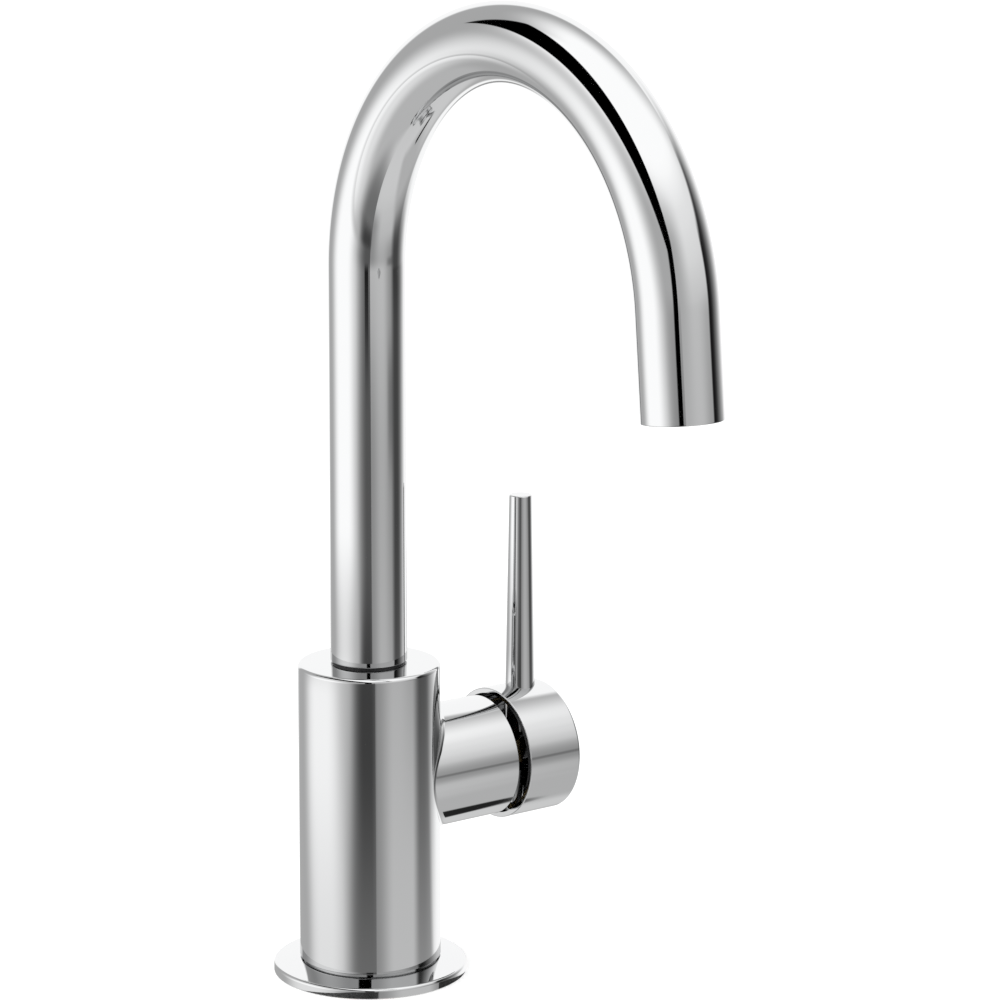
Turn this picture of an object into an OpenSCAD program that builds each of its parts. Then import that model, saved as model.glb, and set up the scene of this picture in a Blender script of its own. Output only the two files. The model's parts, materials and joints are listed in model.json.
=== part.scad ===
// Single-handle gooseneck bar faucet on a round deck flange.
// Origin: centre of the flange on the deck plane. +Z up, spout over -Y, handle on +X.
// Lengths in millimetres, angles in degrees.

/* [Spout] */
// Outside diameter of the spout tube
tube_d = 25.4; // [24:0.1:27]
// Wall of the spout tube
tube_wall = 1.2; // [1:0.1:1.4]
// Radius of the gooseneck bend, to the tube's centre line
bend_r = 79.4; // [60:0.1:100]
// Height of the bend's start above the deck
bend_z = 239.5; // [200:0.5:320]
// Angle that the bend turns through
bend_angle = 174.5; // [165:0.5:180]
// Straight run after the bend, down to the outlet
outlet_run = 32.8; // [24:0.1:60]
// Diameter of the swivel stem under the tube
stem_d = 21.2; // [20.4:0.1:21.6]
// Bore of the swivel stem
stem_bore_d = 14; // [10:0.1:15]
// Length of the swivel stem inside the tube
stem_in_tube = 16; // [10:0.5:24]
// Length of the swivel stem below the body's ceiling
stem_in_body = 15.4; // [14.8:0.1:15.8]

/* [Outlet] */
// How far the brass outlet bushing is set back from the tube's end
outlet_recess = 0.8; // [0.5:0.1:1.5]
// Length of the outlet bushing
outlet_bushing_len = 12.7; // [12:0.1:16]
// Diameter of the aerator housing
aerator_d = 19.6; // [18.6:0.1:20.2]
// Length of the aerator housing
aerator_len = 8.2; // [7.4:0.1:9]
// Diameter of one hole in the aerator's screen
screen_hole_d = 1.5; // [1:0.1:1.7]
// Distance between neighbouring holes in the screen
screen_pitch = 2.4; // [2.2:0.05:2.5]

/* [Body] */
// Outside diameter of the body
body_d = 47.3; // [46.6:0.1:50]
// Height of the shoulder at the body's top edge
body_top_z = 106.6; // [106:0.1:125]
// Rise of the crowned top from its edge to the spout
body_crown = 0.3; // [0.1:0.05:0.8]
// Radius of the body's rounded top edge
body_edge_r = 1.4; // [0.5:0.1:2]
// Wall of the body shell
body_wall = 3; // [2.6:0.1:3.2]
// Thickness of the body's top
body_top_t = 4.6; // [4:0.1:5]
// Diameter of the deck flange
flange_d = 65; // [60:0.5:75]
// Height of the flange's upright rim, with its rounded edge
flange_rim_h = 3.4; // [2.8:0.1:4]
// Radius of the rounded edge above the rim
flange_edge_r = 1.1; // [0.5:0.1:1.5]
// Height of the flange's face where the body stands
flange_face_z = 4.6; // [4.2:0.1:5.6]
// Shadow gap between the flange and the body's foot
foot_gap = 0.7; // [0.4:0.1:1.2]

/* [Side neck] */
// Height of the handle's turning axis above the deck
hub_z = 66.4; // [65.6:0.1:67]
// Outside diameter of the side neck
neck_d = 41; // [40.6:0.1:42]
// Distance of the neck's end from the body's axis
neck_end_x = 47.4; // [46:0.1:50]
// Radius of the blend where the neck grows out of the body
neck_blend_r = 3; // [2:0.1:4]

/* [Handle] */
// Diameter of the handle cap
cap_d = 44.8; // [44:0.1:46]
// Length of the handle cap
cap_len = 21.3; // [20.6:0.1:24]
// Wall of the handle cap at its rim
cap_wall = 1.75; // [1.4:0.05:2]
// Thickness of the cap's closed end
cap_end_t = 3.5; // [2.5:0.1:4]
// Radius of the cap's rounded outer edge
cap_edge_r = 1; // [0.4:0.1:2]
// Gap between the neck's end and the cap's rim
cap_gap = 3.6; // [3.2:0.1:4]
// Distance of the lever's axis from the cap's rim
lever_from_rim = 12.1; // [11.6:0.1:12.6]
// Height of the lever above the top of the cap
lever_len = 66.4; // [40:0.5:90]
// Diameter of the lever's foot
lever_foot_d = 10; // [9:0.1:11]
// Diameter of the lever's tip
lever_tip_d = 7.8; // [6:0.1:9]
// Diameter of the lever's fixing spigot
spigot_d = 6; // [5:0.1:6.5]
// Length of the spigot below the top of the cap
spigot_len = 12; // [9:0.1:13]
// Diameter of the grub screw that holds the cap
grub_d = 5; // [4:0.1:5.4]
// Length of the grub screw
grub_len = 8; // [6:0.5:10]

/* [Cartridge] */
// Outside diameter of the cartridge
cartridge_d = 35; // [34.4:0.1:35.2]
// Height of the cartridge's foot
foot_h = 4.9; // [4.4:0.1:5.4]
// Thickness of the fixed ceramic disc
fixed_disc_t = 4; // [3.4:0.1:4.4]
// Thickness of the moving ceramic disc
moving_disc_t = 3.5; // [3:0.1:4]
// Depth of the socket that the control stem's ball works in
ball_socket_h = 5.4; // [5:0.1:5.8]
// Diameter of the ball on the control stem
ball_d = 5.6; // [5:0.1:5.8]
// Width of the control stem's square end
stem_square = 8; // [7:0.1:8.4]
// Diameter of the pin that the control stem tilts on
pin_d = 3; // [2.5:0.1:3.4]
// Distance of the tilt pin outward of the housing's shoulder
pin_from_shoulder = 1.9; // [1.6:0.1:2.4]
// Radius of the ports for hot and cold water
inlet_port_r = 3.2; // [2.6:0.1:3.4]
// Radius of the port for mixed water
outlet_port_r = 3.8; // [3:0.1:4]
// Half the sweep that the temperature stop lets the handle turn through
turn_limit = 45; // [30:1:55]

/* [Bonnet] */
// Diameter of the thread that holds the bonnet nut
nut_thread_d = 38; // [37.4:0.1:38.4]
// Length of the bonnet nut
nut_len = 10.4; // [10:0.1:11]
// How far the nut stays inside the neck's end
nut_inset = 0.9; // [0.5:0.1:1.2]
// Outside radius of the ball-shaped bonnet in the gap
bonnet_r = 19.4; // [19.2:0.1:19.8]
// Wall of the bonnet
bonnet_wall = 1.2; // [1:0.1:1.4]
// Radius of the opening that the control stem tilts in
bonnet_mouth_r = 11.5; // [11.2:0.1:12]

/* [Deck mounting] */
// Diameter of the threaded shank
shank_d = 33; // [32:0.1:34]
// Pitch of the shank's thread
thread_pitch = 1.5; // [1:0.25:2]
// Bore of the shank, for the supply hoses
shank_bore_d = 28.4; // [27.6:0.1:29]
// Length of the shank below the deck plane
shank_len = 65; // [62:0.5:90]
// Length of the plain lead-in at the shank's end
lead_len = 6; // [4:0.5:8]
// Diameter of the plain lead-in
lead_d = 31.4; // [30.4:0.1:31.8]
// Height of the shank's head inside the body
shank_head_h = 12.7; // [11:0.1:14]
// Thickness of the deck shown clamped
deck_t = 30; // [15:0.5:40]
// Diameter of the washers under the deck
washer_d = 54; // [48:0.5:60]
// Thickness of the rubber washer
rubber_t = 3; // [2:0.1:4]
// Thickness of the steel washer
steel_t = 2; // [1.5:0.1:3]
// Height of the mounting nut
mount_nut_h = 9; // [7:0.1:11]
// Width of the mounting nut across its flats
mount_nut_af = 44; // [42:0.5:48]
// Radius of the threaded supply inlets
supply_r = 4.5; // [4:0.1:5]
// Depth of the thread in the supply inlets
supply_depth = 12; // [10:0.5:14]
// Distance of each supply inlet from the body's axis
supply_y = 8; // [7.6:0.1:8.4]

/* [Fits] */
// Radial clearance of a running fit
run_fit = 0.05; // [0.04:0.01:0.08]
// Radial clearance of a part that is only dropped in
loose_fit = 0.15; // [0.12:0.01:0.2]
// Clearance between faces that slide past each other
face_gap = 0.1; // [0.05:0.01:0.15]

/* [Hidden] */
$fn = 96;
over = 1;           // how far a cut runs past the face it opens

// Spout
tube_r = tube_d / 2;
tube_bore_r = tube_r - tube_wall;
bend_thinning = 0.01;
crown_z = body_top_z + body_crown;
glide_flange_t = 0.7;
glide_wall = 1.2;
tube_z0 = crown_z + glide_flange_t;
stem_r = stem_d / 2;
glide_in_r = stem_r + run_fit;
glide_out_r = glide_in_r + glide_wall;
ceiling_z = body_top_z - body_top_t;
stem_z0 = ceiling_z - stem_in_body;
stem_z1 = tube_z0 + stem_in_tube;
socket_gap = 0.4;                   // under the stem's end, in the core's socket
socket_z0 = stem_z0 - socket_gap;
o_ring_r = 0.7;                     // section radius of the stem's rings
o_ring_proud = 0.02;                // how far the rings stand out of the stem
o_ring_mid_r = stem_r - o_ring_r + o_ring_proud;
o_ring_lift = 2.4;                  // first ring above the stem's end
o_ring_pitch = 4.6;
function o_ring_z(i) = stem_z0 + o_ring_lift + i * o_ring_pitch;
clip_t = 1.2;
clip_drop = 0.4;                    // clip below the body's ceiling
clip_reach = 0.8;                   // clip past the hole in the body's top
clip_r = glide_out_r + clip_reach;
clip_groove_r = stem_r - 1.3;
clip_z1 = ceiling_z - clip_drop;
clip_z0 = clip_z1 - clip_t;
clip_room = 0.4;                    // clearance round the clip in the core
clip_room_r = clip_r + clip_room;
clip_room_z0 = clip_z0 - 3 * clip_room;

// Body
body_r = body_d / 2;
shell_bore_r = body_r - body_wall;
foot_z = flange_face_z + foot_gap;
seat_share = 0.66;                  // share of the shell's wall that stands on the flange's raised seat
flange_seat_r = shell_bore_r + body_wall * seat_share;
flange_r = flange_d / 2;
flange_bore_r = shank_d / 2 + loose_fit;
gasket_t = 1.5;
gasket_r0 = flange_bore_r + 2.5;
gasket_r1 = flange_r - 3;
core_r = shell_bore_r - loose_fit;
head_lift = 2.9;                    // pull that is left in the shank before its head meets the flange
head_z0 = foot_z + head_lift;
head_z1 = head_z0 + shank_head_h;

// Cartridge, stacked inward from the neck's end
neck_r = neck_d / 2;
cartridge_r = cartridge_d / 2;
pocket_r = cartridge_r + loose_fit;
housing_wall = 1.9;
housing_bore_r = cartridge_r - housing_wall;
shoulder_t = 1.9;
carrier_flange_t = 3.5;
disc_film = 0.05;
nut_x1 = neck_end_x - nut_inset;
shoulder_x = nut_x1 - nut_len;
carrier_x1 = shoulder_x - shoulder_t - face_gap;     // outer face of the carrier's flange
carrier_x0 = carrier_x1 - carrier_flange_t;
driver_x1 = carrier_x0 - 2 * face_gap;
socket_x0 = driver_x1 - ball_socket_h;
driver_floor_t = 0.5;
moving_x1 = socket_x0 - driver_floor_t;
moving_x0 = moving_x1 - moving_disc_t;
fixed_x1 = moving_x0 - disc_film;
fixed_x0 = fixed_x1 - fixed_disc_t;
foot_x0 = fixed_x0 - foot_h;
seat_x = foot_x0 - face_gap;
pivot_x = shoulder_x + pin_from_shoulder;
ball_gap = 0.2;                     // under the ball, to the socket's floor
ball_x = socket_x0 + ball_d / 2 + ball_gap;
ball_socket_r = ball_d / 2 + loose_fit;
moving_r = 10.2;
chamber_r = moving_r - 2.6;         // blind chamber in the moving disc
chamber_depth = 1.6;
chamber_drop = 1.4;                 // chamber's centre below the hub's axis, while the disc shuts the ports
driver_r = moving_r + 1;
driver_lip = 1.5;
carrier_r = 11;
carrier_x2 = nut_x1 - 0.3;
carrier_gap = 0.3;                  // round the carrier's flange, in the housing
housing_neck_r0 = carrier_r + 0.2;
housing_neck_r1 = housing_neck_r0 + 2;
stop_h = 1.7;                       // height of the temperature stop
housing_x1 = carrier_x2 - stop_h;
stop_ring_r = housing_neck_r0 + 0.9;
stop_ring_bite = 0.4;               // how far the lug is rooted in its ring
stop_lug = 20;                      // angle that the temperature ring's lug takes up
tilt_room = 3.6;                    // above and below the square stem, in the carrier's slot
slot_half_y = stem_square / 2 + loose_fit;
slot_half_z = stem_square / 2 + tilt_room;
pin_len = 2 * carrier_r - 1.4;
port_y = supply_y + 0.5;
inlet_port_z = 6.6;                 // hot and cold ports above the hub's axis
outlet_port_z = 6.6;                // mixed-water port below it
seal_r = 0.7;                       // section radius of the port seals
seal_groove_h = 2 * seal_r - face_gap;

// Bonnet
nut_r = nut_thread_d / 2 - run_fit;
nut_bore_r = housing_neck_r1 + 0.3;
nut_notches = 4;                    // for the wrench that tightens the nut
nut_notch_w = 4;
nut_notch_h = 2.5;
skirt_h = 1.4;
bonnet_in_r = bonnet_r - bonnet_wall;
bonnet_x0 = nut_x1 - pivot_x;       // from the ball's centre, as the next two are
skirt_r1 = sqrt(pow(bonnet_r, 2) - pow(bonnet_x0, 2));
skirt_r0 = sqrt(pow(bonnet_in_r, 2) - pow(bonnet_x0, 2));

// Handle
cap_r = cap_d / 2;
cap_bore_r = cap_r - cap_wall;
cap_x0 = neck_end_x + cap_gap;
cap_x1 = cap_x0 + cap_len;
lever_x = cap_x0 + lever_from_rim;
boss_gap = 1;                       // from the bonnet's ball to the cap's boss
boss_wall = 2.5;
boss_x0 = pivot_x + bonnet_r + boss_gap;
boss_x1 = cap_x1 - cap_end_t;
boss_r = stem_square / sqrt(2) + boss_wall;
square_x1 = boss_x1 - 0.8;          // end of the boss's square socket
stem_x1 = square_x1 - 0.3;          // end of the control stem in it
lever_z0 = hub_z + cap_r;
grub_r = grub_d / 2;
key_af = 2.5;                       // hexagon key's width across flats
key_depth = 2.5;
lever_seam = 0.02;                  // between the lever's foot and the cap
post_r = 5.5;                       // posts in the cap for the lever's spigot and for the grub screw
post_len = cap_bore_r + cap_wall / 2 - 0.4;
rim_edge_r = 0.35;
spigot_gap = 0.3;                   // under the spigot, in the post
tip_edge = 0.45;                    // bevel round the lever's tip

// Mounting
shank_r = shank_d / 2;
thread_root_r = shank_r - thread_pitch / 2;
thread_z0 = lead_len - shank_len;
thread_top_gap = 0.5;               // plain shank above the thread, from the deck plane down
thread_turns = floor((shank_len - lead_len - thread_top_gap) / thread_pitch);
deck_z = -deck_t;
steel_z = deck_z - rubber_t;
nut_z1 = steel_z - steel_t;
nut_z0 = nut_z1 - mount_nut_h;
nut_corner_r = mount_nut_af / sqrt(3);
nut_corner_h = 2;                   // height of the turned corners
washer_bore_r = shank_r + 0.5;

// ---- helpers ----

// Draws children with their Z axis laid along +X, at the hub's height
module on_hub(x = 0) {
    translate([x, 0, hub_z]) rotate([0, 90, 0]) children();
}

// Draws children with their Z axis along the tube, at an angle round the bend and moved on by a distance
module on_tube(angle, dist) {
    translate([0, -bend_r, bend_z]) rotate([90, 0, 90]) rotate([0, 0, angle])
        translate([bend_r, dist, 0]) rotate([-90, 0, 0]) children();
}

// Draws children at the outlet, their Z axis along the falling water
module at_outlet() {
    on_tube(bend_angle, outlet_run) children();
}

// A ring between two radii and two heights
module ring(r0, r1, z0, z1) {
    translate([0, 0, z0])
        difference() {
            cylinder(r = r1, h = z1 - z0);
            translate([0, 0, -over]) cylinder(r = r0, h = z1 - z0 + 2 * over);
        }
}

// A torus of section radius s about Z
module o_ring(mid_r, s, z = 0) {
    translate([0, 0, z]) rotate_extrude() translate([mid_r, 0]) circle(r = s, $fn = 32);
}

// A half profile that fills a rounded outer top corner at (r, z)
module rounded_corner(r, z, edge) {
    difference() {
        translate([r - edge, z - edge]) square(edge + over);
        translate([r - edge, z - edge]) circle(r = edge);
    }
}

// A round wall's section, in from the tube's faces by thin on each side
module tube_wall_section(thin = 0) {
    difference() {
        circle(r = tube_r - thin);
        circle(r = tube_bore_r + thin);
    }
}

// ---- flange and body ----

module base_flange() {
    slope_r = flange_r - flange_edge_r;
    color("gainsboro")
        difference() {
            rotate_extrude() difference() {
                polygon([
                    [flange_bore_r, 0], [flange_r, 0], [flange_r, flange_rim_h],
                    [slope_r, flange_rim_h], [body_r, flange_face_z], [flange_seat_r, flange_face_z],
                    [flange_seat_r, foot_z], [flange_bore_r, foot_z]
                ]);
                rounded_corner(flange_r, flange_rim_h, flange_edge_r);
            }
            ring(gasket_r0, gasket_r1, -over, gasket_t);
        }
}

module flange_gasket() {
    color("dimgray") ring(gasket_r0 + loose_fit, gasket_r1 - loose_fit, 0, gasket_t);
}

// The solid blend between two crossed cylinders, as a ball rolls round their crossing.
// Each ring holds the ball's arc from the neck to the body, closed by one point inside the metal.
blend_steps = 72;
blend_arc = 6;
bury = 0.04;                        // depth of the blend's edges under the two surfaces
function blend_centre(t) =
    let (n = neck_r + neck_blend_r, b = body_r + neck_blend_r)
        [sqrt(b * b - pow(n * sin(t), 2)), n * sin(t), n * cos(t)];
function unit(v) = v / norm(v);
function blend_point(t, k) =
    let (
        c = blend_centre(t),
        to_neck = unit([0, -c[1], -c[2]]),
        to_body = unit([-c[0], -c[1], 0]),
        sweep = acos(to_neck * to_body),
        s = k / blend_arc,
        dir = (sin((1 - s) * sweep) * to_neck + sin(s * sweep) * to_body) / sin(sweep),
        sink = (k == 0 || k == blend_arc) ? bury : 0
    ) c + dir * (neck_blend_r + sink);
function blend_root(t) =
    let (n = neck_r - 1.2, b = body_r - 1.2)
        [sqrt(b * b - pow(n * sin(t), 2)), n * sin(t), n * cos(t)];
module neck_blend() {
    row = blend_arc + 2;
    points = [
        for (i = [0 : blend_steps - 1], k = [0 : row - 1])
            k <= blend_arc ? blend_point(i * 360 / blend_steps, k)
                           : blend_root(i * 360 / blend_steps)
    ];
    faces = [
        for (i = [0 : blend_steps - 1], k = [0 : row - 1], half = [0, 1])
            let (
                a = i * row + k,
                b = i * row + (k + 1) % row,
                c = ((i + 1) % blend_steps) * row + k,
                d = ((i + 1) % blend_steps) * row + (k + 1) % row
            ) half == 0 ? [a, b, d] : [a, d, c]
    ];
    translate([0, 0, hub_z]) polyhedron(points = points, faces = faces);
}

module body_shell() {
    color("gainsboro")
        difference() {
            union() {
                rotate_extrude() difference() {
                    polygon([
                        [0, foot_z], [body_r, foot_z], [body_r, body_top_z],
                        [body_r - body_edge_r, body_top_z], [tube_r, crown_z], [0, crown_z]
                    ]);
                    rounded_corner(body_r, body_top_z, body_edge_r);
                }
                on_hub() cylinder(r = neck_r, h = neck_end_x);
                neck_blend();
            }
            translate([0, 0, foot_z - over]) cylinder(r = shell_bore_r, h = ceiling_z - foot_z + over);
            translate([0, 0, ceiling_z - over])
                cylinder(r = glide_out_r + run_fit, h = crown_z - ceiling_z + 2 * over);
            on_hub() cylinder(r = pocket_r, h = neck_end_x + over);
            on_hub(shoulder_x) cylinder(r = nut_thread_d / 2, h = neck_end_x - shoulder_x + over);
        }
}

// The core carries both supplies up to the cartridge and the mixed water on to the spout
module waterway_core() {
    passage_z = hub_z + inlet_port_z;
    color("darkgoldenrod")
        difference() {
            translate([0, 0, head_z1]) cylinder(r = core_r, h = ceiling_z - head_z1);
            on_hub(seat_x) cylinder(r = pocket_r, h = body_r);
            translate([0, 0, socket_z0]) cylinder(r = stem_r + run_fit, h = ceiling_z);
            translate([0, 0, clip_room_z0]) cylinder(r = clip_room_r, h = ceiling_z - clip_room_z0 + over);
            translate([0, 0, hub_z - outlet_port_z])
                cylinder(r = outlet_port_r, h = socket_z0 - hub_z + outlet_port_z + over);
            translate([0, 0, hub_z - outlet_port_z]) rotate([0, 90, 0])
                cylinder(r = outlet_port_r, h = seat_x + over);
            for (side = [-1, 1]) {
                translate([0, side * supply_y, head_z1 - over])
                    cylinder(r = supply_r, h = supply_depth + over);
                translate([0, side * supply_y, head_z1 + supply_depth - over])
                    cylinder(r = inlet_port_r, h = passage_z - head_z1 - supply_depth + over);
                translate([0, side * port_y, passage_z]) rotate([0, 90, 0])
                    cylinder(r = inlet_port_r, h = seat_x + over);
            }
        }
}

module glide_ring() {
    color("black") {
        ring(glide_in_r, glide_out_r, ceiling_z, crown_z);
        ring(glide_in_r, tube_r - 0.5, crown_z, tube_z0);
    }
}

// ---- under the deck ----

// The thread as parallel V grooves, its crests at the shank's full radius
module threaded_rod() {
    rotate_extrude() polygon([
        [0, thread_z0],
        for (i = [0 : thread_turns - 1]) each [
            [thread_root_r, thread_z0 + i * thread_pitch],
            [shank_r, thread_z0 + (i + 0.5) * thread_pitch]
        ],
        [thread_root_r, thread_z0 + thread_turns * thread_pitch],
        [0, thread_z0 + thread_turns * thread_pitch]
    ]);
}

module mounting_shank() {
    plain_z0 = thread_z0 + thread_turns * thread_pitch;
    color("darkgoldenrod")
        difference() {
            union() {
                translate([0, 0, head_z0]) cylinder(r = shell_bore_r, h = shank_head_h);
                translate([0, 0, plain_z0]) cylinder(r = shank_r, h = head_z0 - plain_z0);
                threaded_rod();
                translate([0, 0, -shank_len]) cylinder(r = lead_d / 2, h = lead_len);
            }
            translate([0, 0, -shank_len - over])
                cylinder(r = shank_bore_d / 2, h = shank_len + head_z1 + 2 * over);
        }
}

module deck_washer() {
    color("dimgray") ring(washer_bore_r, washer_d / 2, steel_z, deck_z);
}

module clamp_washer() {
    color("silver") ring(washer_bore_r, washer_d / 2, nut_z1, steel_z);
}

module mounting_nut() {
    color("goldenrod")
        difference() {
            intersection() {
                translate([0, 0, nut_z0])
                    cylinder(r = nut_corner_r, h = mount_nut_h, $fn = 6);
                // the turned corners of the hexagon
                rotate_extrude() polygon([
                    [0, nut_z0], [mount_nut_af / 2, nut_z0],
                    [nut_corner_r + 0.5, nut_z0 + nut_corner_h], [nut_corner_r + 0.5, nut_z1],
                    [0, nut_z1]
                ]);
            }
            translate([0, 0, nut_z0 - over]) cylinder(r = shank_r + run_fit, h = mount_nut_h + 2 * over);
        }
}

// ---- spout ----

// One bent tube: its wall is drawn a hair thinner round the bend, as bending leaves it
module spout_tube() {
    color("gainsboro") {
        on_tube(0, tube_z0 - bend_z) linear_extrude(bend_z - tube_z0) tube_wall_section();
        translate([0, -bend_r, bend_z]) rotate([90, 0, 90])
            rotate_extrude(angle = bend_angle) translate([bend_r, 0]) tube_wall_section(bend_thinning);
        on_tube(bend_angle, 0) linear_extrude(outlet_run) tube_wall_section();
    }
}

module spout_stem() {
    color("darkgoldenrod")
        rotate_extrude() difference() {
            union() {
                translate([0, stem_z0]) square([stem_r, tube_z0 - stem_z0]);
                translate([0, tube_z0]) square([tube_bore_r - run_fit, stem_z1 - tube_z0]);
            }
            translate([-over, stem_z0 - over])
                square([stem_bore_d / 2 + over, stem_z1 - stem_z0 + 2 * over]);
            for (i = [0, 1])
                translate([o_ring_mid_r - o_ring_r - o_ring_proud, o_ring_z(i) - o_ring_r])
                    square([stem_r, 2 * o_ring_r]);
            translate([clip_groove_r, clip_z0 - run_fit]) square([stem_r, clip_t + 2 * run_fit]);
        }
}

module spout_o_rings() {
    color("black")
        for (i = [0, 1]) o_ring(o_ring_mid_r, o_ring_r, o_ring_z(i));
}

// An open spring clip under the body's ceiling keeps the spout from lifting out
module spout_clip() {
    gap = 7;
    color("silver")
        difference() {
            ring(clip_groove_r + run_fit, clip_r, clip_z0, clip_z1);
            translate([0, -gap / 2, clip_z0 - over]) cube([clip_r + over, gap, clip_t + 2 * over]);
        }
}

// ---- outlet, drawn with the water falling along +Z and the tube's end at 0 ----

bushing_z1 = -outlet_recess;
bushing_z0 = bushing_z1 - outlet_bushing_len;
bushing_lip = 2.5;                  // depth of the shoulder over the aerator
bushing_lip_w = 1.6;
aerator_r = aerator_d / 2;
aerator_set_back = 0.8;             // aerator's face behind the bushing's end
aerator_z1 = bushing_z1 - aerator_set_back;
aerator_z0 = aerator_z1 - aerator_len;
gasket_z0 = bushing_z0 + bushing_lip;
gasket_w = 1.8;
screen_t = 1;
screen_r = aerator_r - 1.25;
screen_depth = 1.6;
screen_z1 = aerator_z1 - screen_depth;
screen_z0 = screen_z1 - screen_t;
screen_rows = 3;                    // rows of holes on each side of the middle one
regulator_h = 3;
regulator_r = aerator_r - 2.25;
regulator_inset = 0.4;
regulator_z1 = aerator_z0 + regulator_h + regulator_inset;
regulator_holes = 8;
regulator_hole_r = 0.8;
regulator_ledge = 1;

module outlet_bushing() {
    color("darkgoldenrod") at_outlet() {
        ring(aerator_r + loose_fit, tube_bore_r - run_fit, gasket_z0, bushing_z1);
        ring(aerator_r - bushing_lip_w, tube_bore_r - run_fit, bushing_z0, gasket_z0);
    }
}

module aerator_gasket() {
    color("black") at_outlet() ring(aerator_r - gasket_w, aerator_r, gasket_z0, aerator_z0);
}

module aerator_housing() {
    color("whitesmoke") at_outlet()
        rotate_extrude() difference() {
            translate([0, aerator_z0]) square([aerator_r, aerator_len]);
            translate([-over, aerator_z0 - over])
                square([regulator_r - regulator_ledge + over, aerator_len + 2 * over]);
            translate([-over, aerator_z0 - over])
                square([regulator_r + over, regulator_z1 - aerator_z0 + over]);
            translate([-over, screen_z0]) square([screen_r + over, aerator_len]);
        }
}

module flow_regulator() {
    color("white") at_outlet()
        difference() {
            translate([0, 0, regulator_z1 - regulator_h])
                cylinder(r = regulator_r - run_fit, h = regulator_h);
            for (i = [1 : regulator_holes]) rotate([0, 0, i * 360 / regulator_holes])
                translate([regulator_r * 0.6, 0, aerator_z0 - over])
                    cylinder(r = regulator_hole_r, h = regulator_h + regulator_inset + 2 * over);
        }
}

module aerator_screen() {
    step_y = screen_pitch * sqrt(3) / 2;
    color("lightgray") at_outlet()
        difference() {
            translate([0, 0, screen_z0]) cylinder(r = screen_r - run_fit, h = screen_t);
            for (row = [-screen_rows : screen_rows], col = [-screen_rows : screen_rows]) {
                x = (col + (abs(row) % 2) / 2) * screen_pitch;
                y = row * step_y;
                if (norm([x, y]) < screen_r - screen_hole_d)
                    translate([x, y, screen_z0 - over])
                        cylinder(r = screen_hole_d / 2, h = screen_t + 2 * over, $fn = 24);
            }
        }
}

// ---- cartridge ----

// The three ports through the cartridge's foot and its fixed disc, along the hub's axis
module ports(x0, x1, extra = 0) {
    for (side = [-1, 1])
        translate([x0, side * port_y, hub_z + inlet_port_z]) rotate([0, 90, 0])
            cylinder(r = inlet_port_r + extra, h = x1 - x0);
    translate([x0, 0, hub_z - outlet_port_z]) rotate([0, 90, 0])
        cylinder(r = outlet_port_r + extra, h = x1 - x0);
}

module cartridge_foot() {
    color("whitesmoke")
        difference() {
            on_hub(foot_x0) cylinder(r = cartridge_r, h = foot_h);
            ports(foot_x0 - over, fixed_x0 + over);
            ports(foot_x0 - over, foot_x0 + seal_groove_h, 2 * seal_r);
        }
}

module port_seals() {
    seal_x = seat_x + seal_r;
    color("black") {
        for (side = [-1, 1])
            translate([0, side * port_y, inlet_port_z]) on_hub(seal_x)
                o_ring(inlet_port_r + seal_r, seal_r);
        translate([0, 0, -outlet_port_z]) on_hub(seal_x) o_ring(outlet_port_r + seal_r, seal_r);
    }
}

module fixed_disc() {
    color("ivory")
        difference() {
            on_hub(fixed_x0) cylinder(r = housing_bore_r - loose_fit, h = fixed_disc_t);
            ports(fixed_x0 - over, fixed_x1 + over);
        }
}

module moving_disc() {
    color("ivory")
        difference() {
            on_hub(moving_x0) cylinder(r = moving_r, h = moving_disc_t);
            // the blind chamber that joins the ports once the disc has slid
            translate([0, 0, -chamber_drop]) on_hub(moving_x0 - over)
                cylinder(r = chamber_r, h = over + chamber_depth);
        }
}

module disc_driver() {
    color("dimgray")
        difference() {
            on_hub(moving_x1 - driver_lip) cylinder(r = driver_r, h = driver_x1 - moving_x1 + driver_lip);
            on_hub(moving_x1 - driver_lip - over) cylinder(r = moving_r + run_fit, h = driver_lip + over);
            on_hub(socket_x0) cylinder(r = ball_socket_r, h = ball_socket_h + over);
        }
}

module cartridge_housing() {
    stop_from = stop_lug / 2 + turn_limit;
    color("whitesmoke") {
        on_hub() {
            ring(housing_bore_r, cartridge_r, fixed_x0, shoulder_x - shoulder_t);
            ring(housing_neck_r0, cartridge_r, shoulder_x - shoulder_t, shoulder_x);
            ring(housing_neck_r0, housing_neck_r1, shoulder_x, housing_x1);
            // the stop that the temperature ring's lug runs between
            translate([0, 0, housing_x1])
                rotate_extrude(start = stop_from, angle = 360 - 2 * stop_from)
                    translate([stop_ring_r + face_gap, 0])
                        square([housing_neck_r1 - stop_ring_r - face_gap, stop_h - face_gap]);
        }
    }
}

module stem_carrier() {
    color("dimgray")
        difference() {
            union() {
                on_hub(carrier_x0) cylinder(r = housing_bore_r - carrier_gap, h = carrier_flange_t);
                on_hub(carrier_x1) cylinder(r = carrier_r, h = carrier_x2 - carrier_x1);
            }
            translate([carrier_x0 - over, -slot_half_y, hub_z - slot_half_z])
                cube([carrier_x2 - carrier_x0 + 2 * over, 2 * slot_half_y, 2 * slot_half_z]);
            translate([pivot_x, 0, hub_z]) rotate([90, 0, 0])
                cylinder(r = pin_d / 2, h = 3 * carrier_r, center = true);
        }
}

module tilt_pin() {
    color("silver")
        translate([pivot_x, 0, hub_z]) rotate([90, 0, 0])
            cylinder(r = pin_d / 2, h = pin_len, center = true);
}

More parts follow.
